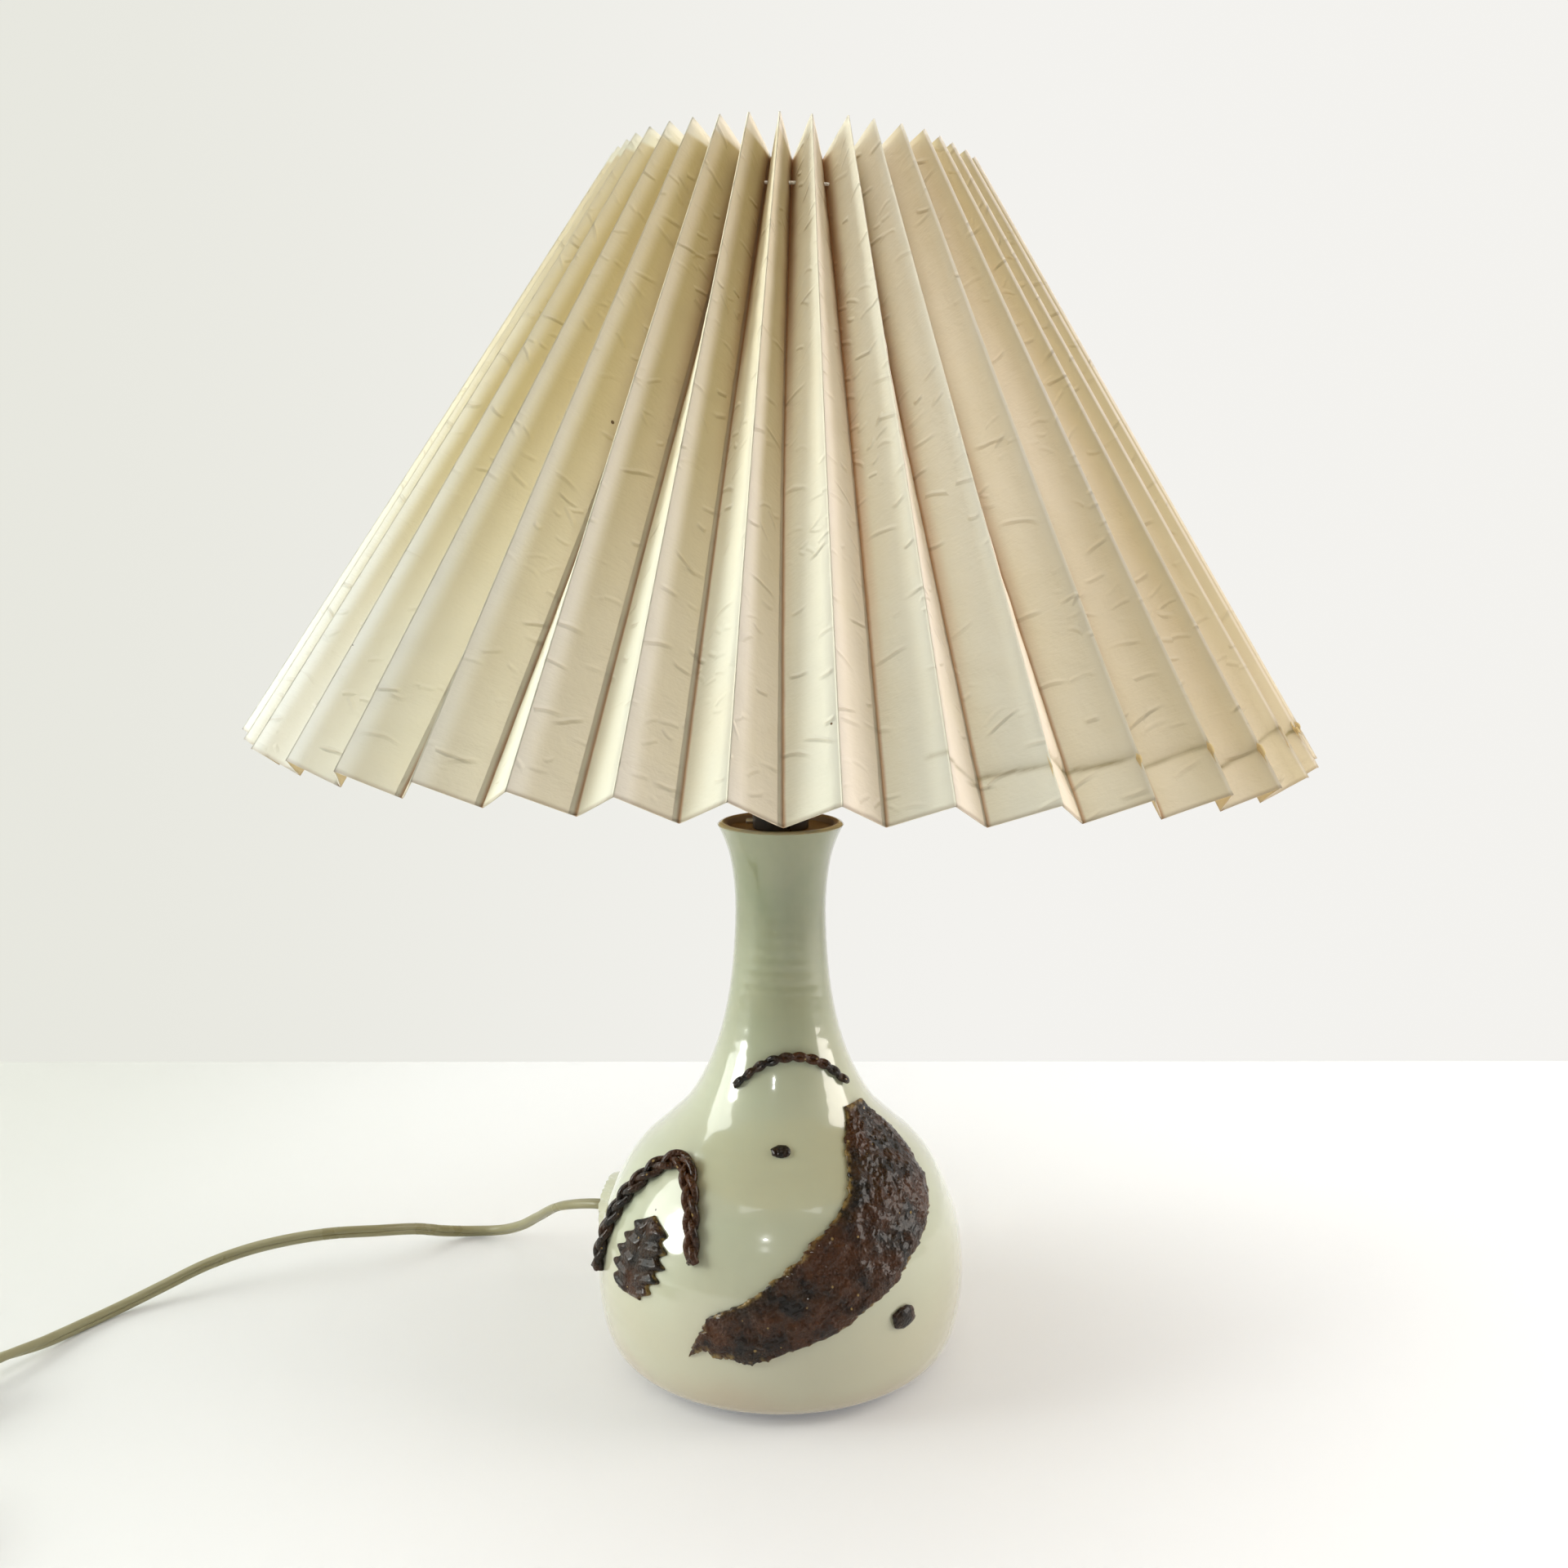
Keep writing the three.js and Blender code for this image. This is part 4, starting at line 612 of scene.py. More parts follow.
def crust_place(down, across, layer):
    """Ragged at its sides, toothed at its hem, knobbly and pitted on top."""
    ragged = waves((2.1, down * 9, 1), (1.3, down * 31, 5), (1.1, down * 90, 3))
    frayed = waves((2.1, down * 8, 11), (1.2, down * 35, 15), (1.2, down * 95, 13))
    left, right = between(CRUST_LEFT, down) + ragged, between(CRUST_RIGHT, down) + frayed
    degrees = left + across * (right - left)
    tooth = abs(((degrees * 0.62) % 1) - 0.5) * 2
    hem = smooth_share((down - 0.8) / 0.2)
    height = CRUST_TOP + down * (CRUST_FOOT - CRUST_TOP)
    height += hem * MM * waves((3.2, degrees * 0.16, 7), (2.4 * tooth, degrees * 0.7, 2))
    if layer == 0:
        return over_body(degrees, height, 0)
    inner = min(1, edge_distance(down, across) * 9) ** 0.5
    spot = over_body(degrees, height, 0)
    knobs = sum(reach * noise.noise(spot * often) for reach, often in ((0.9, 130), (0.65, 300), (0.45, 650)))
    lift = 1.0 + inner * (1.25 + knobs)
    return over_body(degrees, height, max(lift, 0.5) * MM)


relief_looks = (relief_glaze, "foot", "relief_glaze")


def make_patch(name, rows, columns, place_at, node):
    """A patch that stores how near each point lies to the relief's edge, for the glaze."""
    patch = make_piece(name, patch_form(rows, columns, place_at), *relief_looks, [node], crease=80)
    places = [(row / rows, column / columns) for row in range(rows + 1) for column in range(columns + 1)]
    shares = [1 - min(1, edge_distance(*place) * 12) for place in places]
    patch.data.attributes.new("edge", "FLOAT", "POINT").data.foreach_set("value", shares + shares)


make_patch("crust", 190, 120, crust_place, "relief_crust")


def sweep(route, outline, roll=None):
    """An outline carried along a route. With a roll in degrees its first side starts out level."""
    points, faces, side = [], [], None
    count, sides = len(route), len(outline)
    for i, spot in enumerate(route):
        along = (route[min(i + 1, count - 1)] - route[max(i - 1, 0)]).normalized()
        if roll is None:
            side = along.orthogonal() if side is None else side
            side = (side - along * side.dot(along)).normalized()
        else:
            side = along.cross(UP).normalized()
            side.rotate(Quaternion(along, math.radians(roll(i / (count - 1)))))
        up = side.cross(along)
        points += [spot + side * u + up * v for u, v in outline]
    for i in range(count - 1):
        for k in range(sides):
            a, b = i * sides + k, i * sides + (k + 1) % sides
            faces.append((a, b, b + sides, a + sides))
    faces += [tuple(range(sides)), tuple(range((count - 1) * sides, count * sides))]
    return points, faces


def circle(radius, sides):
    turns = [2 * math.pi * i / sides for i in range(sides)]
    return [(radius * math.cos(a), radius * math.sin(a)) for a in turns]


def join_forms(*forms):
    points, faces = [], []
    for more_points, more_faces in forms:
        start = len(points)
        points += more_points
        faces += [[start + corner for corner in face] for face in more_faces]
    return points, faces


def rope_form(track, strands, strand_radius, sway, lift, turn_length):
    """Strands that plait round each other along a track of (degrees right, share of the body's height)."""
    knots = [(degrees * MM, rise * 100 * MM, 0) for degrees, rise in track]
    line = [(knot.x / MM, knot.y / (100 * MM)) for knot in smooth_route(knots, 0.5 * MM)]
    line = [(degrees, BODY_BASE + rise * BODY_HEIGHT) for degrees, rise in line]
    centre = [over_body(degrees, height, lift) for degrees, height in line]
    outward = [over_body(*place, lift + 1) - spot for place, spot in zip(line, centre)]
    forms = []
    for strand in range(strands):
        route, length = [], 0.0
        for i, spot in enumerate(centre):
            along = (centre[min(i + 1, len(centre) - 1)] - centre[max(i - 1, 0)]).normalized()
            if i:
                length += (spot - centre[i - 1]).length
            phase = 2 * math.pi * (length / turn_length + strand / strands)
            tuck = min(1, 4 * i / len(centre), 4 * (len(centre) - 1 - i) / len(centre)) * 0.4 + 0.6
            aside = along.cross(outward[i]).normalized()
            wander = 1 + 0.25 * noise.noise(spot * 60 + Vector((strand, 0, 0)))
            rise = math.sin(2 * phase) * sway * 0.42
            route.append(spot + aside * math.sin(phase) * sway * tuck * wander + outward[i] * rise)
        flat = [(u, v * 0.92) for u, v in circle(strand_radius, 10)]
        forms.append(sweep(route, flat))
    return join_forms(*forms)


ARCH = [(-72, 0.19), (-69, 0.29), (-60, 0.38), (-46, 0.415), (-33, 0.37), (-27, 0.285)]
GARLAND = [(56, 0.535), (38, 0.575), (12, 0.595), (-16, 0.58), (-36, 0.54)]
arch_rope = rope_form(ARCH, 3, 1.6 * MM, 2.4 * MM, 2.3 * MM, 27 * MM)
garland_rope = rope_form(GARLAND, 2, 1.1 * MM, 1.0 * MM, 1.5 * MM, 11 * MM)
make_piece("arch_rope", arch_rope, *relief_looks, ["relief_rope_arch"], crease=80)
make_piece("garland_rope", garland_rope, *relief_looks, ["relief_rope_garland"], crease=80)

LEAF_TOP = BODY_BASE + 0.335 * BODY_HEIGHT
LEAF_FOOT = BODY_BASE + 0.195 * BODY_HEIGHT


def leaf_place(down, across, layer):
    """Five lobes a side, a sunk midrib and slanting veins."""
    swell = 0.35 + 0.65 * math.sin(math.pi * (0.12 + 0.76 * down))
    lobes = 1 + 0.16 * math.sin(down * 31) * smooth_share(abs(across - 0.5) * 2.4)
    aside = (across - 0.5) * 2
    degrees = -47 - 4 * down + 10 * swell * lobes * aside
    height = LEAF_TOP + down * (LEAF_FOOT - LEAF_TOP) - 3.5 * MM * abs(aside) * (1 - down)
    if layer == 0:
        return over_body(degrees, height, 0)
    inner = min(1, edge_distance(down, across) * 9) ** 0.5
    veins = 0.45 * math.cos(down * 31 + 5 * abs(aside)) * smooth_share(abs(aside) * 3)
    rib = -0.7 * math.exp(-((aside * 9) ** 2))
    lift = 0.9 + inner * (1.5 + veins + rib + 0.35 * noise.noise(over_body(degrees, height, 0) * 320))
    return over_body(degrees, height, max(lift, 0.4) * MM)


make_patch("leaf", 64, 48, leaf_place, "relief_leaf")


def pellet_form(degrees, rise, radius):
    """A ball of clay, pressed flat and a little lopsided."""
    height = BODY_BASE + rise * BODY_HEIGHT
    centre = over_body(degrees, height, 0.3 * MM)
    outward = (over_body(degrees, height, 1) - centre).normalized()
    dome = [(math.cos(angle), 0.75 * math.sin(angle)) for angle in (0, 0.35, 0.7, 1.05, 1.35)]
    points, faces = turn([(0, -0.1), *dome, (0, 0.75)], 24)
    aim = outward.to_track_quat("Z", "Y").to_matrix()
    shaped = []
    for point in points:
        lump = 1 + 0.28 * noise.noise(point * 2.1 + centre * 900)
        pressed = Vector((point.x * lump * 1.25, point.y * lump * 0.9, point.z * 0.62))
        shaped.append(centre + aim @ pressed * radius)
    return shaped, faces


high_pellet, low_pellet = pellet_form(0, 0.45, 3 * MM), pellet_form(38, 0.18, 4.6 * MM)
make_piece("high_pellet", high_pellet, *relief_looks, ["relief_pellet_high"], crease=80)
make_piece("low_pellet", low_pellet, *relief_looks, ["relief_pellet_low"], crease=80)


# The hardware in the neck
# A threaded brass tube goes through the top of the neck and is held from below by a steel washer and a brass
# nut. The CAD solids are right for these, so they only get their metals.
metal_inputs = {"Bright": WHITE, "Dull": WHITE, "Scale": 60}
finish_outputs = {"Color": "Color", "Roughness": "Float", "Height": "Float"}
used_metal, given, gives = new_group("used metal", metal_inputs, finish_outputs)
tones = {"First": given["Bright"], "Second": given["Dull"], "Scale": given["Scale"]}
worn = used_metal.use(uneven_tone, Contrast=1.1, **tones)
long_marks = used_metal.add("Mapping", Vector=used_metal.place(), Scale=(40, 40, 900)).outputs[0]
scratches = used_metal.noise(long_marks, 1.5, 3)
metal_rough = used_metal.math("MULTIPLY_ADD", scratches, 0.25, used_metal.times(worn["Mask"], 0.25))
used_metal.feed(worn["Color"], gives["Color"])
used_metal.feed(used_metal.math("ADD", metal_rough, 0.1), gives["Roughness"])
used_metal.feed(scratches, gives["Height"])


def metal(name, bright, dull):
    material, tree = new_material(name, Metallic=1.0)
    looks = tree.use(used_metal, Bright=bright, Dull=dull, Scale=60)
    tree.dress(looks["Color"], looks["Height"], 0.15, 0.2 * MM, Roughness=looks["Roughness"])
    return material


def finish_nodes(material, *names):
    """Gives CAD nodes that need no other form their material."""
    for name in names:
        bpy.data.objects[name].material_slots[0].material = material


brass = metal("brass", (0.80, 0.60, 0.28, 1), (0.52, 0.36, 0.15, 1))
zinc_steel = metal("zinc plated steel", (0.66, 0.67, 0.69, 1), (0.42, 0.42, 0.43, 1))
finish_nodes(brass, "neck_nipple", "neck_nut")
finish_nodes(zinc_steel, "neck_washer")


# The screw holder
# A two-part holder of black moulded plastic. The cap screws onto the brass tube and is locked by a small
# screw. The skirt has an outer thread above its shoulder, and a ribbed ring nut clamps the carrier on it.
HOLDER_BASE = 219.1 * MM
SKIRT_BASE = 246.4 * MM
THREAD_PITCH = 2.6 * MM
LEFT, FRONT = Vector((-1, 0, 0)), Vector((0, -1, 0))

plastic_inputs = {"Tone": WHITE, "Dust": WHITE, "Scale": 300}
moulded, given, gives = new_group("moulded plastic", plastic_inputs, finish_outputs)
dusty = moulded.use(uneven_tone, First=given["Tone"], Second=given["Dust"], Scale=45, Contrast=0.8)
moulded.feed(moulded.mix(0.35, given["Tone"], dusty["Color"]), gives["Color"])
moulded.feed(moulded.math("MULTIPLY_ADD", dusty["Mask"], 0.22, 0.22), gives["Roughness"])
moulded.feed(moulded.noise(moulded.place(), given["Scale"]), gives["Height"])


def plastic(name, tone, dust, scale=900, strength=0.12):
    material, tree = new_material(name, IOR=1.5)
    looks = tree.use(moulded, Tone=tone, Dust=dust, Scale=scale)
    tree.dress(looks["Color"], looks["Height"], strength, 0.3 * MM, Roughness=looks["Roughness"])
    return material


black_plastic = plastic("black moulded plastic", (0.022, 0.020, 0.019, 1), (0.10, 0.09, 0.08, 1))
cap_line = [(5.3, 0), (11.15, 0), (11.15, 7), (13.2, 8.6), (19.6, 17), (19.6, 27), (17.6, 27), (17.6, 18)]
cap_line += [(9.15, 9), (5.3, 9)]
cap_form = turn_mm(cap_line, 96, HOLDER_BASE, 0.8)
holder_looks = (black_plastic, "foot", "black_plastic")
holder_cap = make_piece("holder_cap_moulded", cap_form, *holder_looks, ["holder_cap"])
GRUB_PLACE = Vector((0, 0, HOLDER_BASE + 2.6 * MM))
drill(holder_cap, GRUB_PLACE, LEFT, 1.35 * MM, 14 * MM)


def lay_along(form, aim, start):
    """Turns a form made along +Z so that it points along aim from a start."""
    points, faces = form
    spin = aim.to_track_quat("Z", "Y").to_matrix()
    return [start + spin @ Vector(point) for point in points], faces


grub_line = [(0, 5.4), (1.1, 5.4), (1.1, 13.2), (0.8, 13.75), (0.35, 13.75), (0.35, 12.9), (0, 12.9)]
grub = lay_along(turn_mm(grub_line, 24), LEFT, GRUB_PLACE)
make_piece("grub_screw", grub, zinc_steel, "foot", "steel", ["holder_grub_screw"])

PORCELAIN_PALE, PORCELAIN_DARK = (0.86, 0.83, 0.77, 1), (0.72, 0.68, 0.60, 1)
porcelain, tree = new_material("unglazed porcelain", Roughness=0.5)
fired = tree.use(uneven_tone, First=PORCELAIN_PALE, Second=PORCELAIN_DARK, Scale=90, Contrast=0.8)
tree.dress(fired["Color"], fired["Mask"], 0.15, 0.2 * MM)
finish_nodes(porcelain, "holder_insert")
finish_nodes(brass, "holder_screw_shell", "holder_centre_contact")
finish_nodes(brass, "terminal_screw_live", "terminal_screw_neutral")


def threaded(low, high, radius, inner, shoulder):
    """A skirt with rounded thread rings above a shoulder: its base, its top and its radius."""
    base, top, reach = shoulder
    root = radius - 0.6 * MM
    outline = [(inner, low), (radius, low), (radius, base), (reach, base), (reach, top), (root, top)]
    outline = soften(outline, 0.5 * MM)
    height = top + 1 * MM
    while height + THREAD_PITCH < high:
        for share, depth in ((0.1, 0.6), (0.35, 0.05), (0.6, 0.05), (0.85, 0.6)):
            outline.append(Vector((radius - depth * MM, height + share * THREAD_PITCH)))
        height += THREAD_PITCH
    rim = high - 1 * MM
    outline += soften([(root, rim), (root, high), (inner, high), (inner, rim)], 0.3 * MM)
    return turn(outline, 96)


shoulder = (SKIRT_BASE + 3 * MM, SKIRT_BASE + 5 * MM, 22.5 * MM)
skirt = threaded(SKIRT_BASE, SKIRT_BASE + 30 * MM, 19.6 * MM, 15.2 * MM, shoulder)
make_piece("holder_skirt_moulded", skirt, *holder_looks, ["holder_skirt"])

NUT_BASE = 255.25 * MM
NUT_RIBS = 36
nut_line = [(19.9, 0), (27.4, 0), (27.4, 2.5), (22.6, 3.1), (22.6, 8), (19.9, 8)]
nut = turn_mm(nut_line, 4 * NUT_RIBS, NUT_BASE, 0.6)
for point in nut[0]:
    radius, angle = math.hypot(point.x, point.y), math.atan2(point.y, point.x)
    if radius > 21.5 * MM and point.z > NUT_BASE + 3.2 * MM:
        shrink = 1 - 0.022 * (0.5 - 0.5 * math.cos(NUT_RIBS * angle))
        point.x, point.y = point.x * shrink, point.y * shrink
make_piece("ring_nut_moulded", nut, black_plastic, "ring_nut", "black_plastic", ["holder_ring_nut"])


# The bulb
# An opal glass bulb, 60 mm across, on a screwed aluminium cap with a black insulator and a tin tip. Its
# stem and filament stand inside, behind the opal glass.
BULB_GLASS_BASE = 276.6 * MM
BULB_RADIUS = 30 * MM
BULB_CENTRE = BULB_GLASS_BASE + 52 * MM
OPAL_PALE, OPAL_DARK = (0.88, 0.87, 0.83, 1), (0.82, 0.80, 0.74, 1)
shine = {"Roughness": 0.18, "Coat_Weight": 0.6, "Coat_Roughness": 0.05, "Subsurface_Weight": 0.15}
opal, tree = new_material("opal glass", **shine)
tree.dress(tree.use(uneven_tone, First=OPAL_PALE, Second=OPAL_DARK, Scale=30, Contrast=0.5)["Color"])


def bulb_line(inset):
    """The bulb's outline from its neck to its top, some way inside its outer skin."""
    neck, radius = 13.5 * MM - inset, BULB_RADIUS - inset
    line = [(neck, BULB_GLASS_BASE), (neck + 0.8 * MM, BULB_GLASS_BASE + 9 * MM)]
    for i in range(24):
        angle = math.radians(-38 + 128 * i / 24)
        line.append((radius * math.cos(angle), BULB_CENTRE + radius * math.sin(angle)))
    return [*line, (0, BULB_CENTRE + radius)]


bulb_form = turn([*reversed(bulb_line(1.2 * MM)), *bulb_line(0)], 72)
make_piece("bulb_envelope", bulb_form, opal, "bulb", "bulb_glass", ["bulb_glass"])

aluminium = metal("aluminium cap", (0.80, 0.80, 0.82, 1), (0.60, 0.60, 0.60, 1))
CAP_LOW, CAP_HIGH, CAP_PITCH = 254.3, 276.3, 3.6
screwed = [(0, CAP_LOW), (9, CAP_LOW), (11.6, CAP_LOW + 1.2)]
height = CAP_LOW + 2
while height + CAP_PITCH < CAP_HIGH - 1:
    for share, depth in ((0.05, 1.0), (0.3, 0.1), (0.5, 0.0), (0.7, 0.1), (0.95, 1.0)):
        screwed.append((13.1 - depth, height + share * CAP_PITCH))
    height += CAP_PITCH
screwed += [(12.9, CAP_HIGH), (11.9, CAP_HIGH), (11.6, CAP_LOW + 2), (0, CAP_LOW + 0.8)]
make_piece("bulb_cap_screwed", turn_mm(screwed, 72), aluminium, "bulb", "bulb_cap", ["bulb_screw_cap"])

SEED_COLOURS = {"Color": (0.05, 0.05, 0.05, 1), "Speck": (0.3, 0.3, 0.3, 1)}
clear = {"Base_Color": (0.9, 0.93, 0.92, 1), "Transmission_Weight": 1.0, "IOR": 1.5}
clear_glass, tree = new_material("clear stem glass", **clear)
seeds = tree.use(specks, Scale=300, Size=0.2, Share=0.2, **SEED_COLOURS)
tree.feed(tree.math("MULTIPLY_ADD", seeds["Mask"], 0.2, 0.5), tree.shader.inputs["Roughness"])
finish_nodes(clear_glass, "bulb_stem")
finish_nodes(metal("dull wire", (0.40, 0.38, 0.35, 1), (0.20, 0.19, 0.18, 1)), "bulb_filament")
finish_nodes(black_plastic, "bulb_insulator")
finish_nodes(zinc_steel, "bulb_tip")


# The shade's wire carrier
# Steel wire, 2.5 mm thick, welded and lacquered black: a flat collar on the holder's shoulder, three arms
# that bow out round the bulb, and the ring that the pleats rest on. It leans with the shade by 2 degrees.
WIRE_RADIUS = 1.25 * MM
CARRIER_PIVOT = Vector((0, 0, 253.24 * MM))
SHADE_LEAN = math.radians(2)
LEANS_TOWARDS = math.radians(38)
lean_axis = Vector((-math.sin(LEANS_TOWARDS), math.cos(LEANS_TOWARDS), 0))
lean = Matrix.Rotation(SHADE_LEAN, 4, lean_axis)
lean = Matrix.Translation(CARRIER_PIVOT) @ lean @ Matrix.Translation(-CARRIER_PIVOT)

LACQUER_DARK, LACQUER_WORN = (0.018, 0.018, 0.019, 1), (0.06, 0.055, 0.05, 1)
LACQUER_CHIP = (0.25, 0.2, 0.16, 1)
lacquer, tree = new_material("black lacquer", Coat_Weight=0.3)
worn = tree.use(uneven_tone, First=LACQUER_DARK, Second=LACQUER_WORN, Scale=160, Contrast=1.4)
chips = tree.use(specks, Color=worn["Color"], Speck=LACQUER_CHIP, Scale=350, Size=0.25, Share=0.06)
lacquer_rough = tree.math("MULTIPLY_ADD", worn["Mask"], 0.3, 0.5)
tree.dress(chips["Color"], worn["Mask"], 0.2, 0.2 * MM, Roughness=lacquer_rough)


def leaned(form):
    points, faces = form
    return [lean @ Vector(point) for point in points], faces


collar_line = [(20.1, 252.49), (30.6, 252.49), (30.6, 253.99), (20.1, 253.99)]
collar = leaned(turn_mm(collar_line, 96, soft=0.4))
make_piece("collar_plate", collar, lacquer, "carrier", "wire", ["carrier_collar"])
RING_HEIGHT, RING_RADIUS = 435.8 * MM, 67.1 * MM
ARM_STATIONS = [(29.35, 254.29), (29.35, 259.29), (36, 298.29), (67.1, 429.25), (67.1, 434.25)]
for number in range(3):
    angle = math.radians(30 + 120 * number)
    outward = Vector((math.cos(angle), math.sin(angle), 0))
    arm_route = smooth_route([(outward * r + UP * z) * MM for r, z in ARM_STATIONS], 3 * MM)
    arm = leaned(sweep(arm_route, circle(WIRE_RADIUS, 14)))
    make_piece(f"arm_wire_{number + 1}", arm, lacquer, "carrier", "wire", [f"carrier_arm_{number + 1}"])
ring_line = [(RING_RADIUS + u, RING_HEIGHT + v) for u, v in circle(WIRE_RADIUS, 14)]
make_piece("ring_wire", leaned(turn(ring_line, 120)), lacquer, "carrier", "wire", ["carrier_top_ring"])


# The pleated shade
# Crinkled cream cloth laminated on a plastic backing, folded from one straight strip into 42 pleats of 20 mm
# wide panels and closed to a cone. It is aged, creased near its hem and golden inside; its colour also holds
# painted light and shade: brown in the valleys, dark bands by the folds, pale lit panels and fold edges.
PLEATS = 42
PANEL_WIDTH = 20 * MM
HEM_RADIUS, HEM_HEIGHT = 207.5 * MM, 259.3 * MM
TOP_RADIUS, TOP_HEIGHT = 69.5 * MM, 471.8 * MM
SHEET = 0.5 * MM
NOSE = 0.3 * MM
SLOPE = (HEM_RADIUS - TOP_RADIUS) / (TOP_HEIGHT - HEM_HEIGHT)
STRIP_WIDTH = math.hypot(HEM_RADIUS - TOP_RADIUS, TOP_HEIGHT - HEM_HEIGHT)
ROW_SHARES = [0.0055 * i for i in range(7)] + [0.0385 + 0.0022 * i for i in range(20)]
ROW_SHARES += [0.0825 + 0.9175 * i / 88 for i in range(89)]
PANEL_SHARES = [0, 0.12, 0.25, 0.38, 0.51, 0.64, 0.77, 0.89, 1]
# How the folds and valleys that face the viewer stand off an even cone, from left to right: degrees, mm.
HEM_FOLDS = [
    (0.5, -5), (-0.2, -1.5), (0.6, 0.5), (0.2, 2.5), (0.2, 2), (0.4, 2), (0.1, -2), (0.2, -2.5),
    (0.2, -0.5), (0.3, -1), (0.2, 1.5), (0.8, 0), (0.6, 2.5), (-0.4, 2.5), (0.1, -1.5), (0.3, -4.5),
]
TOP_FOLDS = [
    (0.1, -1.5), (-0.2, -0.5), (-0.2, 0.5), (-0.2, 1), (-0.6, 1), (-0.7, 1), (-0.7, 1.5), (-0.8, 1.5),
    (-0.5, -0.5), (0.9, 1), (0, 0.5), (0.3, 0.5), (0, 0.5), (-0.1, -1.5), (-0.6, -2.5), (0, -2),
]
HEM_VALLEYS = [
    (-0.2, -3), (-0.2, -1), (0, 0.5), (0.2, 1), (0.2, 0), (0.4, 0), (0.5, 1), (0.2, 2),
    (0, -1.5), (-0.2, 0.5), (0.2, 0.5), (-0.2, 2.5), (-0.2, 1.5), (-0.6, 0.5), (0, -3),
]
TOP_VALLEYS = [
    (0, 0), (0, 0), (0, 0), (0, 0), (-0.3, 0), (-0.6, 0), (-0.8, 1.5), (-1.7, -1),
    (0.8, 1), (0.4, 0), (0.2, 0), (0, 0), (0, 0), (0, 0), (0, 0),
]

CREASE_FROM, CREASE_TO = 12, 80
chance = random.Random(42)
panel_bow = [chance.uniform(-1, 1) for _ in range(2 * PLEATS)]
loose = [(chance.uniform(-0.4, 0.4), chance.uniform(-0.5, 0.5)) for _ in range(2 * PLEATS)]


def valley_end(radius, height):
    """Where the valleys end when the folds end at a radius and height, since the panels are rectangles."""
    half, stretch = math.pi / PLEATS, 1 + SLOPE**2
    a = stretch * math.cos(half) ** 2 + math.sin(half) ** 2
    b = stretch * radius * math.cos(half)
    valley = (b - math.sqrt(b * b - a * (stretch * radius**2 - PANEL_WIDTH**2))) / a
    return valley, height - SLOPE * (radius - valley * math.cos(half))


HEM_VALLEY = valley_end(HEM_RADIUS, HEM_HEIGHT)
TOP_VALLEY = valley_end(TOP_RADIUS, TOP_HEIGHT)


def stands_off(table, steps, at_hem):
    """Degrees and metres off the even cone for the fold or valley that is some steps right of the front."""
    steps = (steps + PLEATS / 2) % PLEATS - PLEATS / 2
    place = round(steps + (len(table) - 1) / 2)
    if 0 <= place < len(table):
        return table[place][0], table[place][1] * MM
    aside = smooth_share((150 - abs(steps) * 360 / PLEATS) / 40)
    turned, pulled = loose[round(2 * steps) % len(loose)]
    return turned, (pulled - (6 if at_hem else 1) * aside) * MM


def cone_place(steps, share, hem, top, off_hem, off_top):
    """A point on a fold or valley line, some steps right of the front and a share of the way up."""
    degrees = steps * 360 / PLEATS + off_hem[0] + share * (off_top[0] - off_hem[0])
    radius = hem[0] + off_hem[1] + share * (top[0] + off_top[1] - hem[0] - off_hem[1])
    angle = math.radians(degrees)
    height = hem[1] + share * (top[1] - hem[1])
    return Vector((radius * math.sin(angle), -radius * math.cos(angle), height))


def fold_place(index, share):
    off = stands_off(HEM_FOLDS, index + 0.5, True), stands_off(TOP_FOLDS, index + 0.5, False)
    return cone_place(index + 0.5, share, (HEM_RADIUS, HEM_HEIGHT), (TOP_RADIUS, TOP_HEIGHT), *off)


def valley_place(index, share):
    off = stands_off(HEM_VALLEYS, index + 1, True), stands_off(TOP_VALLEYS, index + 1, False)
    return cone_place(index + 1, share, HEM_VALLEY, TOP_VALLEY, *off)


def crease_level(across, panel):
    """The share of the sheet's height at which the crease above the hem crosses a panel."""
    level = 0.058 + 0.009 * math.sin(panel * 1.9) + 0.010 * (across - 0.5) * math.sin(panel * 2.7)
    return level + 0.0025 * noise.noise(Vector((panel * 7 + across * 5, 9, 0)))


def hem_crease(degrees, share, across, panel):
    """How far the cloth is pushed in, in mm, along the crease above the hem, from one degree to another."""
    if not CREASE_FROM < degrees < CREASE_TO:
        return 0
    off = (share - crease_level(across, panel)) * STRIP_WIDTH / MM
    uneven = 0.8 + 0.5 * noise.noise(Vector((panel * 0.9, across, 3)))
    strength = smooth_share((degrees - CREASE_FROM) / 10) * uneven
    return strength * 2.0 * math.exp(-off / 2.2 if off > 0 else off / 6)


def shade_point(panel, across, share):
    """A place on a panel: across runs from its fold to its valley, share from the hem to the top."""
    way = 1 if panel % 2 == 0 else -1
    tip, end = fold_place((panel + 1) // 2, share), valley_place(panel // 2, share)
    outward = Vector((tip.x, tip.y, 0)).normalized()
    sideways = Vector((-outward.y, outward.x, 0)) * way
    start = tip + (sideways - outward) * NOSE
    spot = start.lerp(end, across)
    face = (end - start).cross(Vector((0, 0, 1))).normalized()
    face = face if face.dot(outward) > 0 else -face
    bow = 0.45 * panel_bow[panel] * math.sin(math.pi * across)
    bow *= math.sin(math.pi * min(share * 1.2 + 0.2, 1))
    flat = Vector((across * PANEL_WIDTH / MM + panel * 50, share * 253, 0))
    wrinkle = noise.noise(Vector((flat.x * 0.05, flat.y * 0.13, 0))) * 0.22
    wrinkle += noise.noise(flat * 0.2) * 0.10
    held = min(1, across * 8, (1 - across) * 8)
    crease = hem_crease(math.degrees(math.atan2(tip.x, -tip.y)), share, across, panel)
    return spot + face * ((bow + wrinkle) * held - crease * (0.4 + 0.6 * held)) * MM


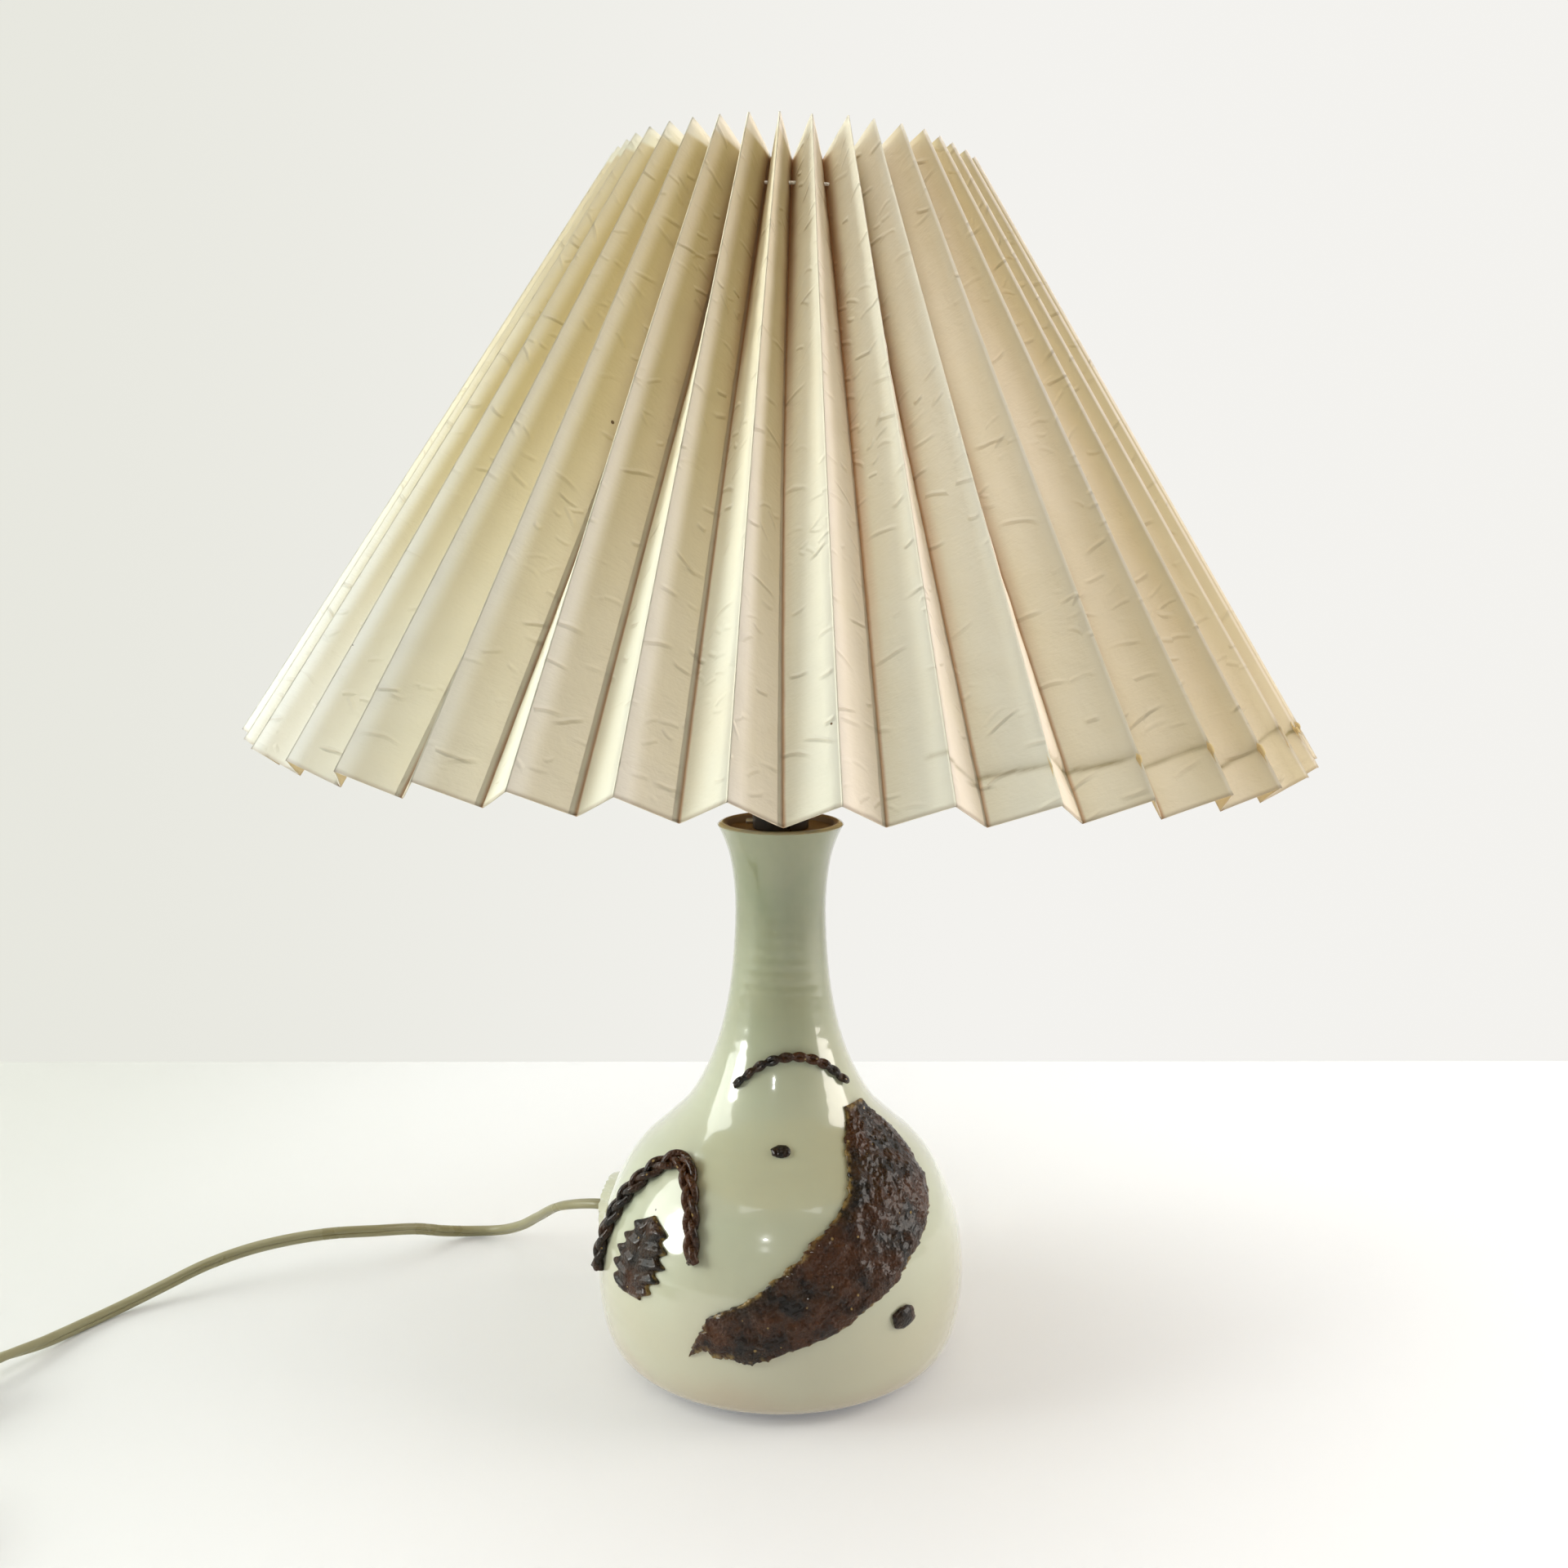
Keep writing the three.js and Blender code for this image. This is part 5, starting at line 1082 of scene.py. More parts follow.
def crease_line(place, share, across, panel):
    """How dark the painted shade lies in the crease above the hem, 0 to 1."""
    if not CREASE_FROM < math.degrees(math.atan2(place.x, -place.y)) < CREASE_TO:
        return 0
    off = (share - crease_level(across, panel)) * STRIP_WIDTH / MM
    patchy = 0.55 + 0.9 * noise.noise(Vector((panel * 3.1 + across * 2.2, 21, 0)))
    return max(0, min(1, patchy)) * math.exp(-((off / 0.7) ** 2))


def shade_form():
    """Columns of points round the shade, with the flat sheet's own coordinates for the material."""
    columns = []
    for panel in range(2 * PLEATS):
        shares = PANEL_SHARES[:-1] if panel % 2 == 0 else PANEL_SHARES[:0:-1]
        columns += [(panel, across) for across in shares]
        if panel % 2 == 1:
            columns += [(panel, 0), (panel, -1)]
    points, sheet_places, facts = [], [], []
    for share in ROW_SHARES:
        for panel, across in columns:
            at_nose = across < 0
            spot = fold_place((panel + 1) // 2, share) if at_nose else shade_point(panel, across, share)
            points.append(lean @ spot)
            reach = max(across, 0)
            flat_x = (panel + (reach if panel % 2 == 0 else 1 - reach)) * PANEL_WIDTH
            sheet_places += [flat_x, share * STRIP_WIDTH, panel % 2]
            facts += [reach, share, crease_line(points[-1], share, reach, panel)]
    wide, faces = len(columns), []
    for row in range(len(ROW_SHARES) - 1):
        for column in range(wide):
            a, b = row * wide + column, row * wide + (column + 1) % wide
            faces.append((a, b, b + wide, a + wide))
    return (points, faces), sheet_places, facts


slash_inputs = {"Vector": (0, 0, 0), "Scale": 30, "Share": 0.5, "Length": 0.4, "Width": 0.03, "Turn": 1.2}
slashes, given, gives = new_group("short creases", slash_inputs, {"Line": "Float", "Ridge": "Float"})
scaled = slashes.add("VectorMath", {"operation": "SCALE"}, Vector=given["Vector"], Scale=given["Scale"])
scaled = scaled.outputs[0]
cells = slashes.add("TexVoronoi", {"voronoi_dimensions": "2D"}, Vector=scaled, Scale=1).outputs
pick = slashes.add("SeparateColor", Color=cells["Color"]).outputs
angle = slashes.times(slashes.math("SUBTRACT", pick[1], 0.5), given["Turn"])
about = {"Center": cells["Position"], "Angle": angle}
spun = slashes.add("VectorRotate", {"rotation_type": "Z_AXIS"}, Vector=scaled, **about).outputs[0]
in_cell = slashes.axes(slashes.vector("SUBTRACT", spun, cells["Position"]))
bend = slashes.times(in_cell[0], in_cell[0], slashes.math("SUBTRACT", pick[2], 0.5))
off_line = slashes.math("ABSOLUTE", slashes.math("ADD", in_cell[1], bend))
half_length = slashes.times(given["Length"], slashes.math("ADD", pick[2], 0.4))
to_end = slashes.math("DIVIDE", slashes.math("ABSOLUTE", in_cell[0]), half_length)
picked = slashes.math("LESS_THAN", pick[0], given["Share"])
along = slashes.times(slashes.other(slashes.rise(to_end, 0.3, 1)), picked)
aside = slashes.math("DIVIDE", off_line, given["Width"])
for output, width in (("Line", 1), ("Ridge", 3)):
    slashes.feed(slashes.times(along, slashes.other(slashes.rise(aside, 0, width))), gives[output])

PINKISH, GREENISH, COOL_LIT_LOW = (0.96, 0.86, 0.73, 1), (0.93, 0.92, 0.73, 1), (0.76, 0.76, 0.64, 1)
LIT_PALE_LOW, FOLD_HIGHLIGHT, STAINED = (0.88, 0.89, 0.83, 1), (0.93, 0.87, 0.70, 1), (0.86, 0.77, 0.54, 1)
TAN, AGED_AND_SHADED_HIGH, RED_SHADE = (0.60, 0.46, 0.20, 1), (0.74, 0.58, 0.29, 1), (0.66, 0.38, 0.19, 1)
SHADE_OLIVE_BROWN, BROWN_AND_SHADE = (0.54, 0.43, 0.18, 1), (0.34, 0.17, 0.065, 1)
VALLEY_DIRT_AND_SHADE, CREASE_SHADE_TONE, SPECK = (0.48, 0.22, 0.07, 1), (0.34, 0.27, 0.11, 1), (0.16, 0.10, 0.05, 1)
LONG_CREASE_SHADE, SHORT_CREASE_SHADE = (0.40, 0.30, 0.14, 1), (0.45, 0.35, 0.2, 1)
LIGHT_THROUGH = 0.12

cloth, tree = new_material("crinkled cream cloth", Roughness=0.75, Specular_IOR_Level=0.2)
times, other, rise = tree.times, tree.other, tree.rise


def no_less(share, least):
    """Squeezes a share of 0 to 1 into the range from the least value to 1."""
    return tree.math("ADD", times(share, 1 - least), least)


flat_place = tree.add("Attribute", {"attribute_name": "sheet_place"}).outputs["Vector"]
faces_left = tree.axes(flat_place)[2]
across, up, crease_shade = tree.axes(tree.add("Attribute", {"attribute_name": "pleat_facts"}).outputs["Vector"])
to_right = tree.axes(tree.vector("NORMALIZE", tree.vector("MULTIPLY", tree.place(), (1, 1, 0))))[0]
off_centre = tree.math("ABSOLUTE", to_right)
turned = tree.math("SUBTRACT", times(faces_left, 2), 1)
side_on = rise(times(to_right, turned), 0.3, 0.8)
on_right = rise(to_right, -0.1, 0.25)
# Painted light and shade: a share high on panels turned towards the light at the left, low on those turned
# away, and lower towards the right.
painted_light = tree.math("ADD", times(turned, 0.4, other(side_on)), 0.45)
painted_light = tree.math("SUBTRACT", painted_light, times(to_right, 0.5), clamp=True)
shaded_side = times(other(on_right), other(faces_left))
# Painted light: low on the left side, where the window light falls.
lit_low_left = times(rise(to_right, -0.5, -0.8), other(rise(up, 0.1, 0.6)))
low_right = times(rise(to_right, 0.3, 0.6), other(rise(up, 0.2, 0.6)))
upwards = rise(up, 0.0, 0.6)
below_tip = other(rise(tree.math("ADD", up, times(other(across), 0.024)), 0.993, 1.0))
# Browner towards the top and less so on the right: partly the cloth's ageing, partly painted shade.
aged = times(rise(up, 0.2, 0.95), other(times(on_right, 0.8)), below_tip)
# A painted shadow: an olive-brown band beside each fold on the shaded panels of the left half, softening
# towards the valley.
band_start = times(other(off_centre), 0.18)
band_edge = rise(across, band_start, tree.math("ADD", band_start, 0.27))
band_fade = other(times(rise(across, 0.3, 0.95), off_centre))
left_painted_shadow = times(band_edge, band_fade, shaded_side, no_less(upwards, 0.35), below_tip)
# Painted shade: olive-brown just inside each fold on the side-on panels of the right half.
near_outer = times(rise(across, 0.01, 0.05), other(rise(across, 0.1, 0.8)))
right_painted_shade = times(near_outer, side_on, on_right, no_less(upwards, 0.6))
# Painted shade: tan deepening towards the valleys, more so higher up.
valley_shade = times(rise(across, 0.35, 1.0), other(shaded_side), other(side_on), below_tip)
# Painted shade: a warm red-brown beside the valleys on the right half's left-facing panels.
red_valley_shade = times(rise(across, 0.72, 1.0), on_right, faces_left, rise(up, 0.05, 0.4))
central = other(rise(off_centre, 0.2, 0.6))
# Painted shade, partly the cloth's browning: deep brown in the central valleys towards the top.
sunk = times(rise(across, 0.6, 0.98), rise(up, 0.35, 0.9), central, below_tip)
valley_edge = tree.math("MULTIPLY_ADD", tree.noise(flat_place, 90, 3), 0.035, across)

crease_zone = tree.noise(flat_place, 26)
in_zone, fine_zone = rise(crease_zone, 0.42, 0.6), rise(crease_zone, 0.5, 0.38)
wander = tree.add("TexNoise", Vector=flat_place, Scale=70, Detail=2).outputs["Color"]
crease_place = tree.vector("MULTIPLY_ADD", wander, (0.003, 0.003, 0), flat_place)
long_creases, short_creases, fine_creases = (
    tree.use(slashes, Vector=crease_place, **sizes)
    for sizes in (
        {"Scale": 36, "Share": 0.62, "Length": 0.22, "Width": 0.014, "Turn": 1.0},
        {"Scale": 80, "Share": 0.55, "Length": 0.5, "Width": 0.035, "Turn": 0.9},
        {"Scale": 150, "Share": 0.7, "Length": 0.7, "Width": 0.06, "Turn": 1.6},
    )
)

cloth_layers = [
    # Painted light: cooler and paler low on the lit panels.
    (times(painted_light, other(rise(up, 0.0, 0.55)), 0.75), COOL_LIT_LOW),
    (times(rise(tree.noise(flat_place, 22, 4), 0.42, 0.72), 0.28), STAINED),
    # Painted light: paler low on the left side.
    (times(lit_low_left, 0.75), LIT_PALE_LOW),
    (times(low_right, 0.3), TAN),
    # Partly ageing, partly painted shade towards the top.
    (times(aged, 0.5), AGED_AND_SHADED_HIGH),
    # Painted shadow bands beside the folds, on the left half and on the right half.
    (times(left_painted_shadow, 0.78), SHADE_OLIVE_BROWN),
    (times(right_painted_shade, 0.75), SHADE_OLIVE_BROWN),
    (times(valley_shade, no_less(rise(up, 0.45, 1.0), 0.35), 0.6), TAN),
    (times(red_valley_shade, other(times(off_centre, 0.8)), 0.75), RED_SHADE),
    (times(sunk, 0.85), BROWN_AND_SHADE),
    # A dark line along each valley: partly dirt in the fold, partly painted shade.
    (times(rise(valley_edge, 0.95, 1.015), 0.7), VALLEY_DIRT_AND_SHADE),
    # A painted highlight along each fold's edge.
    (times(other(rise(across, 0.0, 0.025)), 0.2), FOLD_HIGHLIGHT),
    # Painted shade in the crease above the hem.
    (times(crease_shade, 0.85), CREASE_SHADE_TONE),
    # Browner in a thin strip along the hem.
    (times(other(rise(up, 0.0, 0.006)), 0.25), BROWN_AND_SHADE),
    # Painted shade along the long and short creases in the cloth.
    (times(long_creases["Line"], 0.28), LONG_CREASE_SHADE),
    (times(short_creases["Line"], in_zone, 0.3), SHORT_CREASE_SHADE),
]
# The cloth's tone by painted light: greenish cream on the lit panels, pinkish cream on the shaded ones.
colour = tree.mix(painted_light, PINKISH, GREENISH)
for share, tone in cloth_layers:
    colour = tree.mix(share, colour, tone)
colour = tree.use(specks, Color=colour, Speck=SPECK, Scale=75, Size=0.055, Share=0.06)["Color"]

long_fibres = tree.add("Mapping", Vector=flat_place, Scale=(260, 1100, 1)).outputs[0]
crinkles = tree.noise(flat_place, 120, 4, Roughness=0.55, Distortion=0.3)
surface = tree.math("MULTIPLY_ADD", tree.noise(long_fibres, 1, 3, Roughness=0.6), 0.22, crinkles)
surface = tree.math("ADD", surface, times(long_creases["Ridge"], 1.2))
surface = tree.math("ADD", surface, times(short_creases["Ridge"], in_zone))
surface = tree.math("ADD", surface, times(fine_creases["Ridge"], fine_zone, 0.8))
near_fold = tree.math("SUBTRACT", 1, times(across, 4.5), clamp=True)
surface = tree.math("SUBTRACT", surface, times(near_fold, near_fold, 2.4))
tree.dress(colour, surface, 0.8, 0.6 * MM)
tree.mix_shader(LIGHT_THROUGH, "BsdfTranslucent", Color=colour)

LINING_PALE, LINING_DARK = (0.84, 0.62, 0.32, 1), (0.74, 0.48, 0.20, 1)
LINING_GLOW = (0.95, 0.90, 0.68, 1)
lining, tree = new_material("aged lining", Roughness=0.4)
amber = tree.use(uneven_tone, First=LINING_PALE, Second=LINING_DARK, Scale=25, Contrast=0.9)
tree.dress(amber["Color"], amber["Mask"], 0.2, 0.4 * MM)
tree.mix_shader(0.6, "BsdfTranslucent", Color=LINING_GLOW)

form, sheet_places, facts = shade_form()
shade = make_piece("pleated_cloth", form, cloth, "shade", "shade", ["shade_pleated"], crease=25)
shade.data.attributes.new("sheet_place", "FLOAT_VECTOR", "POINT").data.foreach_set("vector", sheet_places)
shade.data.attributes.new("pleat_facts", "FLOAT_VECTOR", "POINT").data.foreach_set("vector", facts)
shade.data.materials.append(lining)
backing = shade.modifiers.new("backing", "SOLIDIFY")
backing.thickness, backing.offset, backing.material_offset = SHEET, -1, 1



def threads(name, dark, pale, strength, depth, **waves):
    """A material of fine slanting threads, for string and woven strap."""
    material, tree = new_material(name, Roughness=0.85)
    marks = tree.add("TexWave", {"bands_direction": "DIAGONAL"}, Vector=tree.place(), **waves).outputs[1]
    tree.dress(tree.mix(marks, dark, pale), marks, strength, depth * MM)
    return material


STRING_DARK, STRING_PALE = (0.80, 0.74, 0.60, 1), (0.97, 0.92, 0.80, 1)
white_string = threads("white string", STRING_DARK, STRING_PALE, 0.4, 0.2, Scale=500)
STRING_HEIGHT, STRING_RADIUS = 450.8 * MM, 63.5 * MM
string_line = [(STRING_RADIUS + u, STRING_HEIGHT + v) for u, v in circle(0.6 * MM, 8)]
string_ring = leaned(turn(string_line, 4 * PLEATS))
make_piece("gathering_string", string_ring, white_string, "shade", "string", ["shade_drawstring"])


# The cord
# Flat two-core cord in olive-brown plastic, 5.4 mm wide and 3.8 mm thick, with a groove between its cores.
# It leaves the pad through a rubber bush, falls to the table and makes one low hump out of the picture.
CORD_WIDTH = 5.4 * MM
CORD_THICKNESS = 3.8 * MM
cord_plastic = plastic("olive cord plastic", (0.26, 0.235, 0.115, 1), (0.42, 0.40, 0.26, 1), 700, 0.15)


def cord_section():
    """Two round cores side by side, with a shallow groove where they join."""
    core = CORD_THICKNESS / 2
    middle = CORD_WIDTH / 2 - core
    turns = [math.radians(degrees) for degrees in range(-90, 91, 20)]
    half = [(middle + core * math.cos(angle), core * math.sin(angle)) for angle in turns]
    half += [(0.3 * MM, core - 0.05 * MM), (0, core - 0.4 * MM), (-0.3 * MM, core - 0.05 * MM)]
    return half + [(-x, -y) for x, y in half]


def cord_length(route):
    return sum((b - a).length for a, b in zip(route, route[1:]))


CORD_EXIT = pad_out * (PAD_FACE + 1.8 * MM) + UP * PAD_HEIGHT
LAMP_COURSE = [
    (-97, 42, 41), (-111, 64, 26), (-122.5, 83, 13), (-134.5, 95.5, 5), (-148, 98, 3.3), (-160.5, 93.5, 5.5),
    (-172, 86, 10), (-188, 72, 15.5), (-205.5, 64, 18), (-223.5, 58.5, 17.5), (-240.5, 52.5, 15.5),
    (-257.5, 45.5, 11.5), (-272, 35.5, 7), (-285.5, 24, 3.4), (-296.5, 8.5, 2.7), (-305, -9.5, 4.4),
    (-313.5, -26.5, 7.4), (-320, -38.7, 8.15), (-322.8, -44, 8.15),
]
lamp_knots = [CORD_EXIT, CORD_EXIT + pad_out * 5 * MM, *[Vector(place) * MM for place in LAMP_COURSE]]


def lamp_roll(share):
    """Flat at the pad, on edge over the hump and on the table, and flat again at the switch."""
    return 90 * smooth_share((share - 0.12) / 0.3) * (1 - smooth_share((share - 0.86) / 0.12))


lamp_route = smooth_route(lamp_knots, 2.2 * MM)
lamp_form = sweep(lamp_route, cord_section(), lamp_roll)
cord_looks = (cord_plastic, "foot", "cord_pvc")
lamp_cord = make_piece("cord_to_switch", lamp_form, *cord_looks, ["cord_from_lamp"], crease=60)

rubber = plastic("bush rubber", (0.03, 0.027, 0.024, 1), (0.09, 0.085, 0.08, 1), 500, 0.3)
bush_line = [(2.8, 66.5), (4.2, 66.5), (4.2, 77.7), (6.5, 77.7), (6.5, 78.9), (2.8, 78.9)]
bush = turn_mm(bush_line, 48, PAD_FACE - 77.4 * MM, 0.5)
bush = lay_along(bush, pad_out, UP * PAD_HEIGHT)
make_piece("cord_bush_rubber", bush, rubber, "foot", "bush", ["cord_bush"])

inside_line = [(PAD_FACE / MM + away, 48.5) for away in (1.5, -9.5, -20.5)]
inside_line += [(37.65, 58.5), (15.06, 86.15), (0, 152.8), (0, 200.8), (0, 219.1), (0, 238.1)]
inside_route = smooth_route([(pad_out * r + UP * z) * MM for r, z in inside_line], 3 * MM)
inside_form = sweep(inside_route, [(u * 0.88, v * 0.88) for u, v in cord_section()])
make_piece("cord_in_body", inside_form, *cord_looks, ["cord_inside"], crease=60)


# The rocker switch on the cord
# Two half shells of dark brown plastic, 56 mm long, screwed together from below, with a rocker on a steel
# pin in the middle of the top. It lies flat on the table in the cord's line.
SWITCH_HEADING = math.radians(-118)
heading = Vector((math.cos(SWITCH_HEADING), math.sin(SWITCH_HEADING), 0))
SWITCH_REACH = 28.3 * MM
SWITCH_MIDDLE = Vector((-322.8, -44, 0)) * MM + heading * SWITCH_REACH
switch_turn = Matrix.Translation(SWITCH_MIDDLE) @ Matrix.Rotation(SWITCH_HEADING, 4, "Z")
brown_plastic = plastic("brown moulded plastic", (0.060, 0.032, 0.018, 1), (0.13, 0.09, 0.06, 1))
shell_looks = (brown_plastic, "foot", "switch_plastic")


def layered(outline, levels):
    """Stacks copies of an outline, each shrunk by an inset towards its middle, at a height: both in mm."""
    points, faces, sides = [], [], len(outline)
    for inset, height in levels:
        for corner in outline:
            reach = corner.length
            pulled = corner * ((reach - inset * MM) / reach)
            points.append(Vector((pulled.x, pulled.y, height * MM)))
    for level in range(len(levels) - 1):
        for k in range(sides):
            a, b = level * sides + k, level * sides + (k + 1) % sides
            faces.append((a, b, b + sides, a + sides))
    faces += [tuple(range(sides)), tuple(range((len(levels) - 1) * sides, len(levels) * sides))]
    return points, faces


def placed(form, matrix):
    points, faces = form
    return [matrix @ Vector(point) for point in points], faces


def cut_box(piece, reach, aside, low, high):
    """Cuts a box out of a switch piece, in mm: half its length, half its width and the two heights."""
    corners = [(x, y, z) for x in (-reach, reach) for y in (-aside, aside) for z in (low, high)]
    faces = [(0, 1, 3, 2), (4, 6, 7, 5), (0, 4, 5, 1), (2, 3, 7, 6), (0, 2, 6, 4), (1, 5, 7, 3)]
    mesh = bpy.data.meshes.new("cutter")
    mesh.from_pydata([tuple(switch_turn @ (Vector(corner) * MM)) for corner in corners], [], faces)
    tool = bpy.data.objects.new("cutter", mesh)
    scene.collection.objects.link(tool)
    cut_away(piece, tool)


x, y = 28 * MM, 13 * MM
shell_outline = soften([(-x, -y), (x, -y), (x, y), (-x, y)], 12 * MM, steps=8)
base_levels = [(1.6, 0), (0.6, 0.4), (0, 1.6), (0, 7.6), (0.3, 8)]
base_form = placed(layered(shell_outline, base_levels), switch_turn)
switch_base = make_piece("switch_lower_shell", base_form, *shell_looks, ["switch_base"])
cut_box(switch_base, 19, 8, 2, 9)
for side in (-1, 1):
    drill(switch_base, switch_turn @ (Vector((side * 22, 0, -1)) * MM), UP, 2.1 * MM, 2.3 * MM)
cover_levels = [(0.3, 8.3), (0, 8.7), (0, 13), (0.5, 14.8), (1.5, 15.9), (3, 16.3)]
cover_form = placed(layered(shell_outline, cover_levels), switch_turn)
switch_cover = make_piece("switch_upper_shell", cover_form, *shell_looks, ["switch_cover"])
cut_box(switch_cover, 19, 8, 8, 14.3)
cut_box(switch_cover, 8, 4.7, 14, 18)


def rocker_side():
    """The side view, in mm, of a shallow saddle with grip ribs on top."""
    line = [(-7, -1.6), (7, -1.6), (7, 5.2)]
    for i in range(27):
        x = 6.6 - 13.2 * i / 26
        rib = 0.18 * (i % 2) if abs(x) > 2 else 0
        line.append((x, 4.3 + 1.1 * (abs(x) / 7) ** 1.5 + rib))
    return [*line, (-7, 5.2)]


ROCKER_TILT = math.radians(7)
side_line = rocker_side()
wide = len(side_line)
rocker_turn = switch_turn @ Matrix.Translation(UP * 12.4 * MM) @ Matrix.Rotation(ROCKER_TILT, 4, "Y")
rocker_points, rocker_faces = [], [tuple(range(wide)), tuple(range(3 * wide, 4 * wide))]
for y, inset in ((-4.2, 0.25), (-3.95, 0), (3.95, 0), (4.2, 0.25)):
    for x, z in side_line:
        shrunk = Vector((x * (1 - inset / 7), y, z - inset * (1 if z > 0 else -1)))
        rocker_points.append(rocker_turn @ (shrunk * MM))
for level in range(3):
    for k in range(wide):
        a, b = level * wide + k, level * wide + (k + 1) % wide
        rocker_faces.append((a, b, b + wide, a + wide))
dark_plastic = plastic("dark rocker plastic", (0.028, 0.017, 0.011, 1), (0.08, 0.06, 0.045, 1))
rocker_key = (rocker_points, rocker_faces)
rocker = make_piece("rocker_key", rocker_key, dark_plastic, "rocker", "switch_plastic", ["switch_rocker"])
drill(rocker, rocker_turn @ (FRONT * 6 * MM), rocker_turn.to_3x3() @ -FRONT, 1.3 * MM, 12 * MM)
inner_parts = ["switch_rocker_pin", "switch_contact", "switch_screw_1", "switch_screw_2"]
finish_nodes(zinc_steel, *inner_parts)
finish_nodes(brass, "switch_contact")


# The wound cord
# The rest of the cord goes from the switch into a round coil of six turns in two layers, on edge, and comes
# out of it to the plug. A woven black strap ties the coil on one side.
COIL_CENTRE = Vector((-322, -152, 0)) * MM
COIL_TURNS = 6
COIL_INNER, COIL_PITCH = 24 * MM, 6 * MM
COIL_LOW, COIL_LAYER = 3.8 * MM, 5.6 * MM


def coil_place(turns):
    """In on the lower layer, up within half a turn, and out on the upper layer."""
    radius = COIL_INNER + COIL_PITCH * abs(turns - COIL_TURNS / 2)
    climb = min(max((turns - 2.75) / 0.5, 0), 1)
    angle = math.pi + 2 * math.pi * turns
    height = COIL_LOW + climb * COIL_LAYER
    return COIL_CENTRE + Vector((radius * math.cos(angle), radius * math.sin(angle), height))


coil_start, coil_end = coil_place(0), coil_place(COIL_TURNS)
turned_cord = [coil_place(i / 48) for i in range(COIL_TURNS * 48 + 1)]
SWITCH_LEVEL = 8.15 * MM
switch_leave = SWITCH_MIDDLE + heading * SWITCH_REACH + UP * SWITCH_LEVEL
ahead = -FRONT * MM
coil_mouth = coil_start + 10 * ahead
half_way = Vector((-361.5, -121, 5.6)) * MM
join_knots = [switch_leave, switch_leave + heading * 5 * MM, half_way, coil_mouth + 5.3 * ahead, coil_mouth]
join_route = smooth_route(join_knots, 2.2 * MM)
coil_leave = coil_end - 10 * ahead
PLUG_AXIS = 6.8 * MM
boot_start = Vector((coil_leave.x - 2 * MM, coil_leave.y - 34 * MM, PLUG_AXIS))
plug_knots = [coil_leave, coil_leave - 5.3 * ahead, coil_leave.lerp(boot_start, 0.5)]
plug_knots += [boot_start + 5 * ahead, boot_start]
plug_route = smooth_route(plug_knots, 2.2 * MM)
wound_route = [*join_route[:-1], *[coil_mouth.lerp(coil_start, i / 4) for i in range(4)], *turned_cord]
wound_route += [*[coil_end.lerp(coil_leave, i / 4) for i in range(1, 4)], *plug_route]


def wound_roll(share):
    """Flat at the switch and at the plug, on edge all through the coil."""
    return 90 * smooth_share(share / 0.03) * (1 - smooth_share((share - 0.96) / 0.035))


wound_form = sweep(wound_route, cord_section(), wound_roll)
wound_nodes = ["cord_to_coil", "cord_coil", "cord_to_plug"]
wound_cord = make_piece("cord_to_plug_wound", wound_form, *cord_looks, wound_nodes, crease=60)

STRAP_DARK, STRAP_PALE = (0.012, 0.012, 0.013, 1), (0.05, 0.05, 0.052, 1)
strap = threads("woven strap", STRAP_DARK, STRAP_PALE, 0.5, 0.3, Scale=420, Distortion=1.5)
tie_aim = Matrix.Translation(COIL_CENTRE) @ Matrix.Rotation(math.radians(-60), 4, "Z")
tie_loop = [(20.7 * MM, 0.5 * MM), (45.3 * MM, 0.5 * MM), (45.3 * MM, 12.7 * MM), (20.7 * MM, 12.7 * MM)]
tie_route = [tie_aim @ Vector((corner.x, 0, corner.y)) for corner in soften(tie_loop, 1.6 * MM, steps=5)]
tie_aside = tie_aim.to_3x3() @ -FRONT
strap_section = ((-3.5, -0.35), (3.5, -0.35), (3.5, 0.4), (-3.5, 0.4))
tie_points, tie_faces = [], []
tie_middle = sum(tie_route, Vector()) / len(tie_route)
for i, spot in enumerate(tie_route):
    along = (tie_route[(i + 1) % len(tie_route)] - tie_route[i - 1]).normalized()
    out = along.cross(tie_aside)
    out = out if out.dot(spot - tie_middle) > 0 else -out
    tie_points += [spot + (tie_aside * u + out * v) * MM for u, v in strap_section]
for i in range(len(tie_route)):
    for k in range(4):
        n = (i + 1) % len(tie_route)
        tie_faces.append((4 * i + k, 4 * i + (k + 1) % 4, 4 * n + (k + 1) % 4, 4 * n + k))
coil_tie = make_piece("coil_strap", (tie_points, tie_faces), strap, "foot", "tie", ["cord_coil_tie"])


